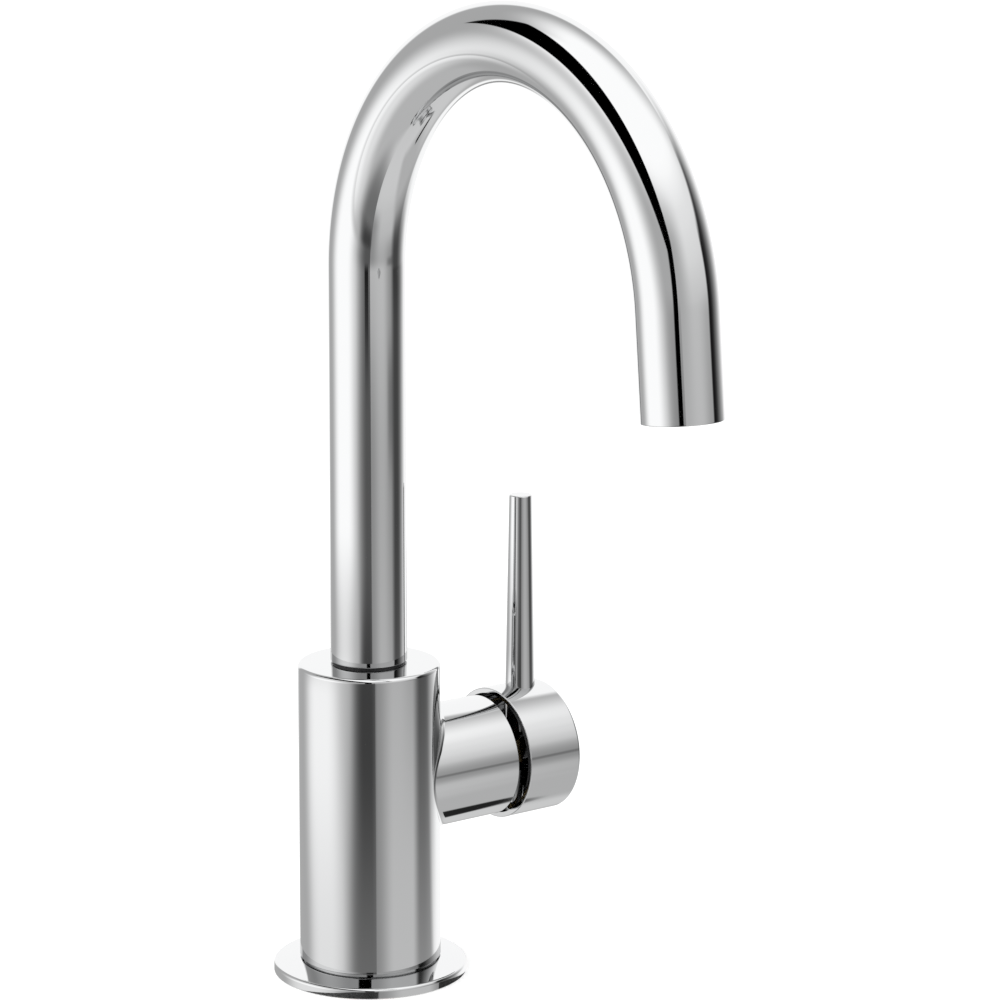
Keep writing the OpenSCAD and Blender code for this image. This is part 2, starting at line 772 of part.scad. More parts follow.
module temperature_ring() {
    color("firebrick")
        on_hub(housing_x1 + face_gap) {
            h = stop_h - face_gap;
            ring(carrier_r + run_fit, stop_ring_r, 0, h);
            rotate_extrude(start = -stop_lug / 2, angle = stop_lug)
                translate([stop_ring_r - stop_ring_bite, 0])
                    square([housing_neck_r1 - stop_ring_r + stop_ring_bite, h]);
        }
}

module bonnet_nut() {
    color("goldenrod")
        on_hub() difference() {
            ring(nut_bore_r, nut_r, shoulder_x, nut_x1);
            ring(skirt_r0 - run_fit, skirt_r1 + run_fit, nut_x1 - skirt_h, nut_x1 + over);
            for (i = [1 : nut_notches]) rotate([0, 0, i * 360 / nut_notches])
                translate([0, -nut_notch_w / 2, nut_x1 - nut_notch_h])
                    cube([skirt_r0 - 0.6, nut_notch_w, nut_notch_h + over]);
        }
}

module bonnet_dome() {
    color([0.08, 0.08, 0.09])
        on_hub(pivot_x) {
            rotate_extrude() difference() {
                intersection() {
                    circle(r = bonnet_r);
                    translate([bonnet_mouth_r, bonnet_x0]) square(bonnet_r);
                }
                circle(r = bonnet_in_r);
            }
            ring(skirt_r0, skirt_r1, bonnet_x0 - skirt_h, bonnet_x0);
        }
}

// ---- handle ----

// The stem tilts on the pin: its ball drives the disc, its square end carries the cap
module control_stem() {
    color("darkgoldenrod")
        difference() {
            union() {
                translate([pivot_x, 0, hub_z]) rotate([90, 0, 0])
                    cylinder(r = stem_square / 2, h = stem_square, center = true);
                translate([pivot_x, -stem_square / 2, hub_z - stem_square / 2])
                    cube([stem_x1 - pivot_x, stem_square, stem_square]);
                on_hub(ball_x) cylinder(r = ball_d / 3, h = pivot_x - ball_x);
                translate([ball_x, 0, hub_z]) sphere(r = ball_d / 2);
            }
            translate([pivot_x, 0, hub_z]) rotate([90, 0, 0])
                cylinder(r = pin_d / 2 + run_fit, h = stem_square + 2 * over, center = true);
        }
}

module handle_cap() {
    color("gainsboro")
        difference() {
            union() {
                on_hub(cap_x0) rotate_extrude() difference() {
                    square([cap_r, cap_len]);
                    translate([-over, -over]) square([cap_bore_r + over, cap_len - cap_end_t + over]);
                    rounded_corner(cap_r, cap_len, cap_edge_r);
                    mirror([0, 1]) rounded_corner(cap_r, 0, rim_edge_r);
                }
                on_hub(boss_x0) cylinder(r = boss_r, h = boss_x1 - boss_x0 + over);
                for (side = [0, 180])
                    translate([lever_x, 0, hub_z]) rotate([side, 0, 0])
                        cylinder(r = post_r, h = post_len);
            }
            translate([boss_x0 - over, -stem_square / 2 - run_fit, hub_z - stem_square / 2 - run_fit])
                cube([square_x1 - boss_x0 + over, stem_square + 2 * run_fit, stem_square + 2 * run_fit]);
            translate([lever_x, 0, lever_z0 - spigot_len - spigot_gap])
                cylinder(r = spigot_d / 2, h = spigot_len + spigot_gap + over);
            translate([lever_x, 0, hub_z - cap_r - over]) cylinder(r = grub_r + run_fit, h = cap_r);
        }
}

module handle_lever() {
    sink = 2;                       // the cone starts this far down, so that the cap's curve cuts its foot
    slope = (lever_foot_d - lever_tip_d) / 2 / lever_len;
    color("gainsboro") {
        difference() {
            translate([lever_x, 0, lever_z0]) rotate_extrude() polygon([
                [0, -sink], [lever_foot_d / 2 + slope * sink, -sink],
                [lever_tip_d / 2 + slope * tip_edge, lever_len - tip_edge],
                [lever_tip_d / 2 - tip_edge, lever_len], [0, lever_len]
            ]);
            on_hub(lever_x - lever_foot_d) cylinder(r = cap_r + lever_seam, h = 2 * lever_foot_d);
        }
        translate([lever_x, 0, lever_z0 - spigot_len])
            cylinder(r = spigot_d / 2 - run_fit, h = spigot_len + 1);
    }
}

module grub_screw() {
    top_z = hub_z - stem_square / 2;
    color("dimgray")
        difference() {
            translate([lever_x, 0, top_z - grub_len]) cylinder(r = grub_r, h = grub_len);
            translate([lever_x, 0, top_z - grub_len - over])
                cylinder(r = key_af / sqrt(3), h = over + key_depth, $fn = 6);
        }
}

base_flange();
flange_gasket();
body_shell();
waterway_core();
glide_ring();
mounting_shank();
deck_washer();
clamp_washer();
mounting_nut();
spout_tube();
spout_stem();
spout_o_rings();
spout_clip();
outlet_bushing();
aerator_gasket();
aerator_housing();
flow_regulator();
aerator_screen();
cartridge_foot();
port_seals();
fixed_disc();
cartridge_housing();
bonnet_nut();
bonnet_dome();
stem_carrier();
tilt_pin();
temperature_ring();
moving_disc();
disc_driver();
control_stem();
handle_cap();
handle_lever();
grub_screw();
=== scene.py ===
import bmesh
import bpy
import json
from math import acos, asin, ceil, cos, degrees, floor, hypot, pi, radians, sin, sqrt
from mathutils import Matrix, Vector
from mathutils.geometry import delaunay_2d_cdt


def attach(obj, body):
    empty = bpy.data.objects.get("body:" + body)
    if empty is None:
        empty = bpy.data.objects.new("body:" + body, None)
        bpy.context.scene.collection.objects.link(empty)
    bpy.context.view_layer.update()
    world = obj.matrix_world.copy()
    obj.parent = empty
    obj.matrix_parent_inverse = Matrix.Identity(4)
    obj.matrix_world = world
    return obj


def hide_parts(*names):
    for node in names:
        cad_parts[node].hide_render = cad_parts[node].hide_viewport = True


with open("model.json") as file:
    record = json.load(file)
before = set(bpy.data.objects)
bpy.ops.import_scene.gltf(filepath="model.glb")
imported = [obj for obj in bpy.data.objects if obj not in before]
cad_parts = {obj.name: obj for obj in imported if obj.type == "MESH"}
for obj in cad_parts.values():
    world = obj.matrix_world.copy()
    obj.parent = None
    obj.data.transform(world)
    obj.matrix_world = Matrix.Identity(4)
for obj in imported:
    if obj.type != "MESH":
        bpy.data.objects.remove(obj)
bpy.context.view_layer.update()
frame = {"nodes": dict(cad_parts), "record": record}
cadNodes = frame["nodes"]
print("stage: frame loaded,", len(cadNodes), "CAD nodes")

mm = 0.001  # sizes are in millimetres, and meshes in metres


def newNode(tree, kind, settings=None, **inputs):
    # an input is given by its name, or as i and its number
    node = tree.nodes.new(kind)
    for key, value in (settings or {}).items():
        setattr(node, key, value)
    for key, value in inputs.items():
        socket = node.inputs[int(key[1:])] if key[0] == "i" and key[1:].isdigit() else node.inputs[key]
        if isinstance(value, bpy.types.NodeSocket):
            tree.links.new(value, socket)
        else:
            socket.default_value = value
    return node


def calc(tree, operation, a, b=0.0, clamp=False):
    node = newNode(tree, "ShaderNodeMath", {"operation": operation, "use_clamp": clamp}, i0=a, i1=b)
    return node.outputs[0]


def ramp(tree, value, low, high, outLow=0.0, outHigh=1.0):
    # a smooth step of value between low and high
    node = newNode(tree, "ShaderNodeMapRange", {"interpolation_type": "SMOOTHSTEP"},
                   i0=value, i1=low, i2=high, i3=outLow, i4=outHigh)
    return node.outputs[0]


def newGroup(name, inputs, outputs):
    group = bpy.data.node_groups.new(name, "ShaderNodeTree")
    for label, kind, value in inputs:
        socket = group.interface.new_socket(name=label, in_out="INPUT", socket_type=kind)
        if value is not None:
            socket.default_value = value
    for label, kind in outputs:
        group.interface.new_socket(name=label, in_out="OUTPUT", socket_type=kind)
    return group, group.nodes.new("NodeGroupInput").outputs, group.nodes.new("NodeGroupOutput").inputs


def useGroup(tree, group, coordinates, **values):
    node = tree.nodes.new("ShaderNodeGroup")
    node.node_tree = group
    tree.links.new(coordinates, node.inputs["Coordinates"])
    for key, value in values.items():
        node.inputs[key].default_value = value
    return node.outputs


# Soft haze and faint wipe marks on a polished or plated surface
marksLook = {"hazeDetail": 3.0, "hazeRoughness": 0.55, "wipeStretch": (6.0, 6.0, 1.0), "wipeScale": 220.0,
             "wipeDetail": 2.0, "cloud": (0.45, 0.75), "streak": (0.52, 0.8), "streakShare": 0.35}
marksGroup, gin, gout = newGroup(
    "wipeMarks",
    [("Coordinates", "NodeSocketVector", None), ("Polish", "NodeSocketFloat", 0.04),
     ("Haze", "NodeSocketFloat", 0.03), ("Size", "NodeSocketFloat", 30.0)],
    [("Roughness", "NodeSocketFloat"), ("Height", "NodeSocketFloat")])
haze = newNode(marksGroup, "ShaderNodeTexNoise", Vector=gin["Coordinates"], Scale=gin["Size"],
               Detail=marksLook["hazeDetail"], Roughness=marksLook["hazeRoughness"])
stretch = newNode(marksGroup, "ShaderNodeMapping", Vector=gin["Coordinates"],
                  Scale=marksLook["wipeStretch"])
wipes = newNode(marksGroup, "ShaderNodeTexNoise", Vector=stretch.outputs[0], Scale=marksLook["wipeScale"],
                Detail=marksLook["wipeDetail"])
cloud = ramp(marksGroup, haze.outputs[0], *marksLook["cloud"])
streak = ramp(marksGroup, wipes.outputs[0], *marksLook["streak"], 0.0, marksLook["streakShare"])
amount = calc(marksGroup, "MULTIPLY", calc(marksGroup, "ADD", cloud, streak), gin["Haze"])
marksGroup.links.new(calc(marksGroup, "ADD", amount, gin["Polish"]), gout["Roughness"])
marksGroup.links.new(haze.outputs[0], gout["Height"])

# Turning lines and tarnish on machined metal
turningLook = {"distortion": 1.5, "lineDetail": 2.0, "tarnishScale": 90.0, "tarnishDetail": 5.0,
               "spots": (0.42, 0.72), "spotRoughness": 0.18}
turningGroup, gin, gout = newGroup(
    "turningLines",
    [("Coordinates", "NodeSocketVector", None), ("Fine", "NodeSocketColor", (0.8, 0.6, 0.3, 1)),
     ("Dull", "NodeSocketColor", (0.5, 0.35, 0.15, 1)), ("Spacing", "NodeSocketFloat", 900.0),
     ("Roughness", "NodeSocketFloat", 0.25)],
    [("Color", "NodeSocketColor"), ("Roughness", "NodeSocketFloat"), ("Height", "NodeSocketFloat")])
lines = newNode(turningGroup, "ShaderNodeTexWave", {"bands_direction": "Z"},
                Vector=gin["Coordinates"], Scale=gin["Spacing"],
                Distortion=turningLook["distortion"], Detail=turningLook["lineDetail"])
tarnish = newNode(turningGroup, "ShaderNodeTexNoise", Vector=gin["Coordinates"],
                  Scale=turningLook["tarnishScale"], Detail=turningLook["tarnishDetail"])
spots = ramp(turningGroup, tarnish.outputs[0], *turningLook["spots"])
tint = newNode(turningGroup, "ShaderNodeMix", {"data_type": "RGBA"}, i0=spots,
               i6=gin["Fine"], i7=gin["Dull"])
turningGroup.links.new(tint.outputs[2], gout["Color"])
duller = calc(turningGroup, "MULTIPLY", spots, turningLook["spotRoughness"])
rough = calc(turningGroup, "ADD", gin["Roughness"], duller)
turningGroup.links.new(rough, gout["Roughness"])
turningGroup.links.new(lines.outputs["Fac"], gout["Height"])

# Fine grain and faint flow marks of a moulded surface
mouldLook = {"grainDetail": 2.0, "flowScale": 60.0, "flowDetail": 4.0, "roughnessSpread": 0.2}
mouldGroup, gin, gout = newGroup(
    "mouldedSkin",
    [("Coordinates", "NodeSocketVector", None), ("Light", "NodeSocketColor", (0.8, 0.8, 0.8, 1)),
     ("Dark", "NodeSocketColor", (0.7, 0.7, 0.7, 1)), ("Grain", "NodeSocketFloat", 3000.0),
     ("Roughness", "NodeSocketFloat", 0.5)],
    [("Color", "NodeSocketColor"), ("Roughness", "NodeSocketFloat"), ("Height", "NodeSocketFloat")])
grain = newNode(mouldGroup, "ShaderNodeTexNoise", Vector=gin["Coordinates"], Scale=gin["Grain"],
                Detail=mouldLook["grainDetail"])
flow = newNode(mouldGroup, "ShaderNodeTexNoise", Vector=gin["Coordinates"], Scale=mouldLook["flowScale"],
               Detail=mouldLook["flowDetail"])
tint = newNode(mouldGroup, "ShaderNodeMix", {"data_type": "RGBA"}, i0=flow.outputs[0],
               i6=gin["Dark"], i7=gin["Light"])
mouldGroup.links.new(tint.outputs[2], gout["Color"])
offMiddle = calc(mouldGroup, "SUBTRACT", flow.outputs[0], 0.5)
spread = calc(mouldGroup, "MULTIPLY", offMiddle, mouldLook["roughnessSpread"])
mouldGroup.links.new(calc(mouldGroup, "ADD", gin["Roughness"], spread), gout["Roughness"])
mouldGroup.links.new(grain.outputs[0], gout["Height"])


def newMaterial(name, metallic=0.0, **constants):
    material = bpy.data.materials.new(name)
    material.use_nodes = True
    tree = material.node_tree
    tree.nodes.clear()
    shader = tree.nodes.new("ShaderNodeBsdfPrincipled")
    output = tree.nodes.new("ShaderNodeOutputMaterial")
    tree.links.new(shader.outputs[0], output.inputs[0])
    shader.inputs["Metallic"].default_value = metallic
    for key, value in constants.items():
        shader.inputs[key.replace("_", " ")].default_value = value
    return material, tree, shader, tree.nodes.new("ShaderNodeTexCoord").outputs["Object"]


def addBump(tree, shader, height, strength, distance):
    bump = newNode(tree, "ShaderNodeBump", Height=height, Strength=strength, Distance=distance)
    tree.links.new(bump.outputs[0], shader.inputs["Normal"])


def platedMetal(name, color, reflectedShade, polish, haze, size):
    # painted shade: metal seen in other metal takes a darker copy of its colour, scaled by the given factor
    material, tree, shader, coordinates = newMaterial(name, metallic=1.0)
    bounces = tree.nodes.new("ShaderNodeLightPath").outputs["Glossy Depth"]
    tone = newNode(tree, "ShaderNodeMix", {"data_type": "RGBA"}, i0=bounces, i6=color,
                   i7=(*(part * reflectedShade for part in color[:3]), 1))
    tree.links.new(tone.outputs[2], shader.inputs["Base Color"])
    marks = useGroup(tree, marksGroup, coordinates, Polish=polish, Haze=haze, Size=size)
    tree.links.new(marks["Roughness"], shader.inputs["Roughness"])
    return material


def machinedMetal(name, fine, dull, spacing, roughness):
    material, tree, shader, coordinates = newMaterial(name, metallic=1.0)
    lines = useGroup(tree, turningGroup, coordinates, Fine=fine, Dull=dull, Spacing=spacing,
                     Roughness=roughness)
    tree.links.new(lines["Color"], shader.inputs["Base Color"])
    tree.links.new(lines["Roughness"], shader.inputs["Roughness"])
    addBump(tree, shader, lines["Height"], strength=0.25, distance=0.00003)
    return material


def mouldedPlastic(name, light, dark, grain, roughness, bump=0.2):
    material, tree, shader, coordinates = newMaterial(name)
    skin = useGroup(tree, mouldGroup, coordinates, Light=light, Dark=dark, Grain=grain,
                    Roughness=roughness)
    tree.links.new(skin["Color"], shader.inputs["Base Color"])
    tree.links.new(skin["Roughness"], shader.inputs["Roughness"])
    addBump(tree, shader, skin["Height"], strength=bump, distance=0.00004)
    return material


# One material for each finish in the record
finishes = {
    # the chrome's colour is painted darker where other metal mirrors it
    "chrome": platedMetal("polishedChrome", (0.90, 0.905, 0.91, 1), reflectedShade=0.55, polish=0.03, haze=0.03,
                          size=35.0),
    "brass": machinedMetal("turnedBrass", fine=(0.80, 0.60, 0.30, 1), dull=(0.62, 0.43, 0.19, 1),
                           spacing=900.0, roughness=0.22),
    "steel": machinedMetal("brightSteel", fine=(0.66, 0.66, 0.67, 1), dull=(0.48, 0.48, 0.49, 1),
                           spacing=1200.0, roughness=0.25),
    "dark_steel": machinedMetal("blackenedSteel", fine=(0.10, 0.10, 0.11, 1), dull=(0.05, 0.05, 0.055, 1),
                                spacing=1500.0, roughness=0.35),
    "black_rubber": mouldedPlastic("blackRubber", light=(0.035, 0.035, 0.035, 1),
                                   dark=(0.018, 0.018, 0.018, 1), grain=2500.0, roughness=0.65, bump=0.4),
    "black_plastic": mouldedPlastic("blackAcetal", light=(0.022, 0.022, 0.024, 1),
                                    dark=(0.012, 0.012, 0.013, 1), grain=3500.0, roughness=0.38),
    "white_plastic": mouldedPlastic("whiteAcetal", light=(0.86, 0.86, 0.84, 1), dark=(0.78, 0.78, 0.76, 1),
                                    grain=3500.0, roughness=0.42),
    "red_plastic": mouldedPlastic("redAcetal", light=(0.60, 0.06, 0.05, 1), dark=(0.48, 0.04, 0.035, 1),
                                  grain=3500.0, roughness=0.4),
    "ceramic": mouldedPlastic("lappedCeramic", light=(0.88, 0.86, 0.80, 1), dark=(0.84, 0.82, 0.76, 1),
                              grain=5000.0, roughness=0.18, bump=0.05),
}
slotOf = {part["node"]: part["material_slot"] for part in frame["record"]["subparts"]}
for name, node in cadNodes.items():
    node.data.materials.clear()
    node.data.materials.append(finishes[slotOf[name]])
print("stage: materials made,", len(finishes))


# A skin is a closed mesh whose corners carry the surface's true normals
cellsPerMm = 500   # points in one cell are one point
wallSteps = 192    # columns round a turned wall
holeMargin = 0.4   # millimetres round a hole in a wall that hold no inner point


def newSkin():
    return {"points": [], "index": {}, "faces": [], "normals": []}


def pointNumber(skin, point):
    # two sums that end at one point may round apart, so a point is kept under every corner of its cell
    cells = [(floor(c * cellsPerMm), ceil(c * cellsPerMm)) for c in point]
    corners = [(a, b, c) for a in cells[0] for b in cells[1] for c in cells[2]]
    for corner in corners:
        if corner in skin["index"]:
            return skin["index"][corner]
    skin["points"].append(point)
    for corner in corners:
        skin["index"][corner] = len(skin["points"]) - 1
    return len(skin["points"]) - 1


def addFace(skin, corners):
    ids, normals = [], []
    for point, normal in corners:
        number = pointNumber(skin, point)
        if number not in ids:
            ids.append(number)
            normals.append(normal)
    if len(ids) < 3:
        return
    a, b, c = (skin["points"][i] for i in ids[:3])
    if (b - a).cross(c - a).dot(sum(normals, Vector())) < 0:
        ids.reverse()
        normals.reverse()
    skin["faces"].append(ids)
    skin["normals"].extend(normals)


def finishSkin(skin, name, body, slotName, *replaced):
    mesh = bpy.data.meshes.new(name)
    mesh.from_pydata([p * mm for p in skin["points"]], [], skin["faces"])
    mesh.shade_smooth()
    mesh.normals_split_custom_set([n.normalized() for n in skin["normals"]])
    piece = bpy.data.objects.new(name, mesh)
    return finishPiece(piece, body, slotName, *replaced)


def openEdges(mesh):
    # every edge of a closed mesh is walked once each way
    walked = {}
    for polygon in mesh.polygons:
        ids = list(polygon.vertices)
        for pair in zip(ids, ids[1:] + ids[:1]):
            walked[pair] = walked.get(pair, 0) + 1
    return sum(count > 1 or count != walked.get((b, a), 0) for (a, b), count in walked.items())


def finishPiece(piece, body, slotName, *replaced):
    if piece.name not in bpy.context.scene.collection.objects:
        bpy.context.scene.collection.objects.link(piece)
    piece.data.materials.clear()
    piece.data.materials.append(finishes[slotName])
    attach(piece, body)
    if replaced:
        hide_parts(*replaced)
    print("stage:", piece.name, len(piece.data.polygons), "faces,", openEdges(piece.data), "open edges")
    return piece


def line(r0, z0, r1, z1, cuts=1):
    # each point of a profile is r and z, then the normal's r and z
    # the outside is on the right of the way travelled
    length = hypot(r1 - r0, z1 - z0)
    normal = ((z1 - z0) / length, (r0 - r1) / length)
    return [(r0 + (r1 - r0) * i / cuts, z0 + (z1 - z0) * i / cuts, *normal) for i in range(cuts + 1)]


def arc(r, z, radius, start, end, cuts=8, hollow=False):
    points = []
    for i in range(cuts + 1):
        angle = radians(start + (end - start) * i / cuts)
        side = -1 if hollow else 1
        c, s = cos(angle), sin(angle)
        points.append((r + radius * c, z + radius * s, side * c, side * s))
    return points


def lathe(skin, profile, place=Matrix.Identity(4), steps=wallSteps):
    turn = place.to_3x3()
    around = [(cos(2 * pi * k / steps), sin(2 * pi * k / steps)) for k in range(steps)]
    for stretchOf in profile:
        for low, high in zip(stretchOf, stretchOf[1:]):
            for k in range(steps):
                here, there = around[k], around[(k + 1) % steps]
                corners = []
                for (r, z, nr, nz), (c, s) in ((low, here), (high, here), (high, there), (low, there)):
                    corners.append((place @ Vector((r * c, r * s, z)), turn @ Vector((nr * c, nr * s, nz))))
                addFace(skin, corners)


def insideLoop(loop, x, y):
    inside = False
    for (x0, y0), (x1, y1) in zip(loop, loop[1:] + loop[:1]):
        if (y0 > y) != (y1 > y) and x < x0 + (y - y0) * (x1 - x0) / (y1 - y0):
            inside = not inside
    return inside


def drum(skin, place, radius, z0, z1, holes, outward=1, steps=wallSteps, rowGap=3.0, seam=-pi):
    # a cylinder's wall with holes, each a closed loop of (angle, height)
    turn = place.to_3x3()
    points, edges = [], []
    flat = [[(a * radius, z) for a, z in hole] for hole in holes]
    reach = [(min(x for x, y in f) - 1, max(x for x, y in f) + 1,
              min(y for x, y in f) - 1, max(y for x, y in f) + 1) for f in flat]
    rows = max(2, round((z1 - z0) / rowGap))
    columns = [[], []]
    for row in range(rows + 1):
        z = z0 + (z1 - z0) * row / rows
        rim = []
        for k in range(steps + 1):
            angle = seam + 2 * pi * k / steps
            x, atRim = angle * radius, row in (0, rows) or k in (0, steps)
            if not atRim:
                near = False
                for loop, (xa, xb, ya, yb) in zip(flat, reach):
                    if xa < x < xb and ya < z < yb:
                        gap = min(hypot(x - u, z - v) for u, v in loop)
                        near = near or gap < holeMargin or insideLoop(loop, x, z)
                if near:
                    continue
            points.append((angle, z))
            if row in (0, rows):
                rim.append(len(points) - 1)
            if k == 0:
                columns[0].append(len(points) - 1)
            if k == steps:
                columns[1].append(len(points) - 1)
        edges += list(zip(rim, rim[1:]))
    for column in columns:
        edges += list(zip(column, column[1:]))
    for hole in holes:
        first = len(points)
        points += hole
        edges += [(first + i, first + (i + 1) % len(hole)) for i in range(len(hole))]
    spread = [Vector((a * radius, z)) for a, z in points]
    faces, sources = delaunay_2d_cdt(spread, edges, [], 0, 1e-5)[2:4]
    for face in faces:
        own = [points[sources[i][0]] for i in face]
        x = sum(a for a, z in own) / 3 * radius
        y = sum(z for a, z in own) / 3
        if any(insideLoop(loop, x, y) for loop in flat):
            continue
        corners = []
        for angle, z in own:
            out = Vector((cos(angle), sin(angle), 0))
            corners.append((place @ (out * radius + Vector((0, 0, z))), turn @ out * outward))
        addFace(skin, corners)


def strip(skin, rowA, rowB, closed=True):
    # quads between two loops of (point, normal)
    count = len(rowA)
    for i in range(count if closed else count - 1):
        j = (i + 1) % count
        addFace(skin, [rowA[i], rowA[j], rowB[j], rowB[i]])


# The hub's axis: local Z runs along +X, and local X points up
hubHeight = 66.4
hubPlace = Matrix(((0, 0, 1, 0), (0, 1, 0, 0), (1, 0, 0, hubHeight), (0, 0, 0, 1)))


# Deck flange, with the groove for its gasket underneath
flangeSize = {"outer": 32.5, "bore": 16.65, "rimTop": 3.4, "edge": 1.1, "footEdge": 0.25,
              "faceEdge": 23.65, "face": 4.6, "seat": 22.63, "seatTop": 5.3,
              "grooveIn": 19.15, "grooveOut": 29.5, "groove": 1.5,
              "footCuts": 6, "edgeCuts": 14, "steps": 256}


def makeFlange(s):
    skin = newSkin()
    inner = s["outer"] - s["edge"]
    foot = s["outer"] - s["footEdge"]
    lathe(skin, [
        line(s["bore"], 0, s["grooveIn"], 0),
        line(s["grooveIn"], 0, s["grooveIn"], s["groove"]),
        line(s["grooveIn"], s["groove"], s["grooveOut"], s["groove"]),
        line(s["grooveOut"], s["groove"], s["grooveOut"], 0),
        line(s["grooveOut"], 0, foot, 0),
        arc(foot, s["footEdge"], s["footEdge"], -90, 0, s["footCuts"]),
        line(s["outer"], s["footEdge"], s["outer"], s["rimTop"] - s["edge"], 2),
        arc(inner, s["rimTop"] - s["edge"], s["edge"], 0, 90, s["edgeCuts"]),
        line(inner, s["rimTop"], s["faceEdge"], s["face"], 3),
        line(s["faceEdge"], s["face"], s["seat"], s["face"]),
        line(s["seat"], s["face"], s["seat"], s["seatTop"]),
        line(s["seat"], s["seatTop"], s["bore"], s["seatTop"]),
        line(s["bore"], s["seatTop"], s["bore"], 0),
    ], steps=s["steps"])
    return finishSkin(skin, "deckFlange", "faucet_body", "chrome", "base_flange")


makeFlange(flangeSize)


# Body with its side neck
bodySize = {"outer": 23.65, "bore": 20.65, "foot": 5.3, "footEdge": 0.25, "top": 106.6, "edge": 1.4,
            "crownEdge": 12.7, "crown": 106.9, "topHole": 11.9, "ceiling": 102.0,
            "neck": 20.5, "neckEnd": 47.4, "neckEdge": 0.3, "blend": 3.0,
            "neckRow": 36.0, "pocket": 17.65, "shoulder": 36.1, "nutBore": 19.0,
            "footCuts": 6, "edgeCuts": 14, "neckCuts": 6, "blendCuts": 10, "neckSteps": 216,
            "innerRowGap": 8.0}


def makeBody(s):
    skin = newSkin()
    edgeZ = s["top"] - s["edge"]
    lathe(skin, [
        line(s["bore"], s["foot"], s["outer"] - s["footEdge"], s["foot"]),
        arc(s["outer"] - s["footEdge"], s["foot"] + s["footEdge"], s["footEdge"], -90, 0, s["footCuts"]),
        arc(s["outer"] - s["edge"], edgeZ, s["edge"], 0, 90, s["edgeCuts"]),
        line(s["outer"] - s["edge"], s["top"], s["crownEdge"], s["crown"], 3),
        line(s["crownEdge"], s["crown"], s["topHole"], s["crown"]),
        line(s["topHole"], s["crown"], s["topHole"], s["ceiling"]),
        line(s["topHole"], s["ceiling"], s["bore"], s["ceiling"]),
    ])

    # a ball rolls round the crossing of neck and body and leaves the blend
    ringCount, arcCount = s["neckSteps"], s["blendCuts"]
    rolled = [[] for _ in range(arcCount + 1)]
    outerHole, neckStart = [], []
    for i in range(ringCount):
        t = 2 * pi * i / ringCount
        n, b = s["neck"] + s["blend"], s["outer"] + s["blend"]
        centre = Vector((sqrt(b * b - (n * sin(t)) ** 2), n * sin(t), n * cos(t)))
        toNeck = Vector((0, -centre.y, -centre.z)).normalized()
        toBody = Vector((-centre.x, -centre.y, 0)).normalized()
        sweep = acos(toNeck.dot(toBody))
        for k in range(arcCount + 1):
            f = k / arcCount
            way = (sin((1 - f) * sweep) * toNeck + sin(f * sweep) * toBody) / sin(sweep)
            point = centre + way * s["blend"] + Vector((0, 0, hubHeight))
            rolled[k].append((point, -way))
        outerHole.append((asin(centre.y / b), hubHeight + centre.z))
        neckStart.append((rolled[0][-1][0], Vector((0, sin(t), cos(t)))))
    for low, high in zip(rolled, rolled[1:]):
        strip(skin, low, high)
    # the same points again as the drum works them out, so that the seam closes
    for i, (angle, z) in enumerate(outerHole):
        out = Vector((cos(angle), sin(angle), 0))
        rolled[arcCount][i] = (out * s["outer"] + Vector((0, 0, z)), out)
    drum(skin, Matrix.Identity(4), s["outer"], s["foot"] + s["footEdge"], edgeZ, [outerHole])

    # the neck runs along its own axis to the rounded end, then in by the nut's bore and the pocket
    turns = [(sin(2 * pi * i / ringCount), cos(2 * pi * i / ringCount)) for i in range(ringCount)]

    def ring(radius, x, nr, nx):
        return [(Vector((x, radius * a, hubHeight + radius * c)), Vector((nx, nr * a, nr * c)))
                for a, c in turns]

    def rings(*rows):
        for low, high in zip(rows, rows[1:]):
            strip(skin, low, high)

    edge = s["neckEdge"]
    rings(neckStart, ring(s["neck"], s["neckRow"], 1, 0), ring(s["neck"], s["neckEnd"] - edge, 1, 0))
    rings(*[ring(s["neck"] - edge + edge * cos(a), s["neckEnd"] - edge + edge * sin(a), cos(a), sin(a))
            for a in (pi / 2 * k / s["neckCuts"] for k in range(s["neckCuts"] + 1))])
    rings(ring(s["neck"] - edge, s["neckEnd"], 0, 1), ring(s["nutBore"], s["neckEnd"], 0, 1))
    rings(ring(s["nutBore"], s["neckEnd"], -1, 0), ring(s["nutBore"], s["shoulder"], -1, 0))
    rings(ring(s["nutBore"], s["shoulder"], 0, 1), ring(s["pocket"], s["shoulder"], 0, 1))
    innerHole = [(asin(s["pocket"] * a / s["bore"]), hubHeight + s["pocket"] * c) for a, c in turns]
    mouth = [(Vector((s["bore"] * cos(angle), s["bore"] * sin(angle), z)), Vector((0, -a, -c)))
             for (angle, z), (a, c) in zip(innerHole, turns)]
    rings(ring(s["pocket"], s["shoulder"], -1, 0), mouth)
    drum(skin, Matrix.Identity(4), s["bore"], s["foot"], s["ceiling"], [innerHole], -1,
         rowGap=s["innerRowGap"])
    return finishSkin(skin, "bodyShell", "faucet_body", "chrome", "body_shell")


makeBody(bodySize)


# Spout: a straight tube that a node tree bends over
spoutSize = {"outer": 12.7, "inner": 11.5, "lip": 0.2, "lipRow": 0.5, "foot": 107.6, "bendStart": 239.5,
             "bendRadius": 79.4, "bendAngle": 174.5, "outletRun": 32.8,
             "riserRows": 8, "bendRows": 144, "outletRows": 5, "lipCuts": 4, "steps": 160}


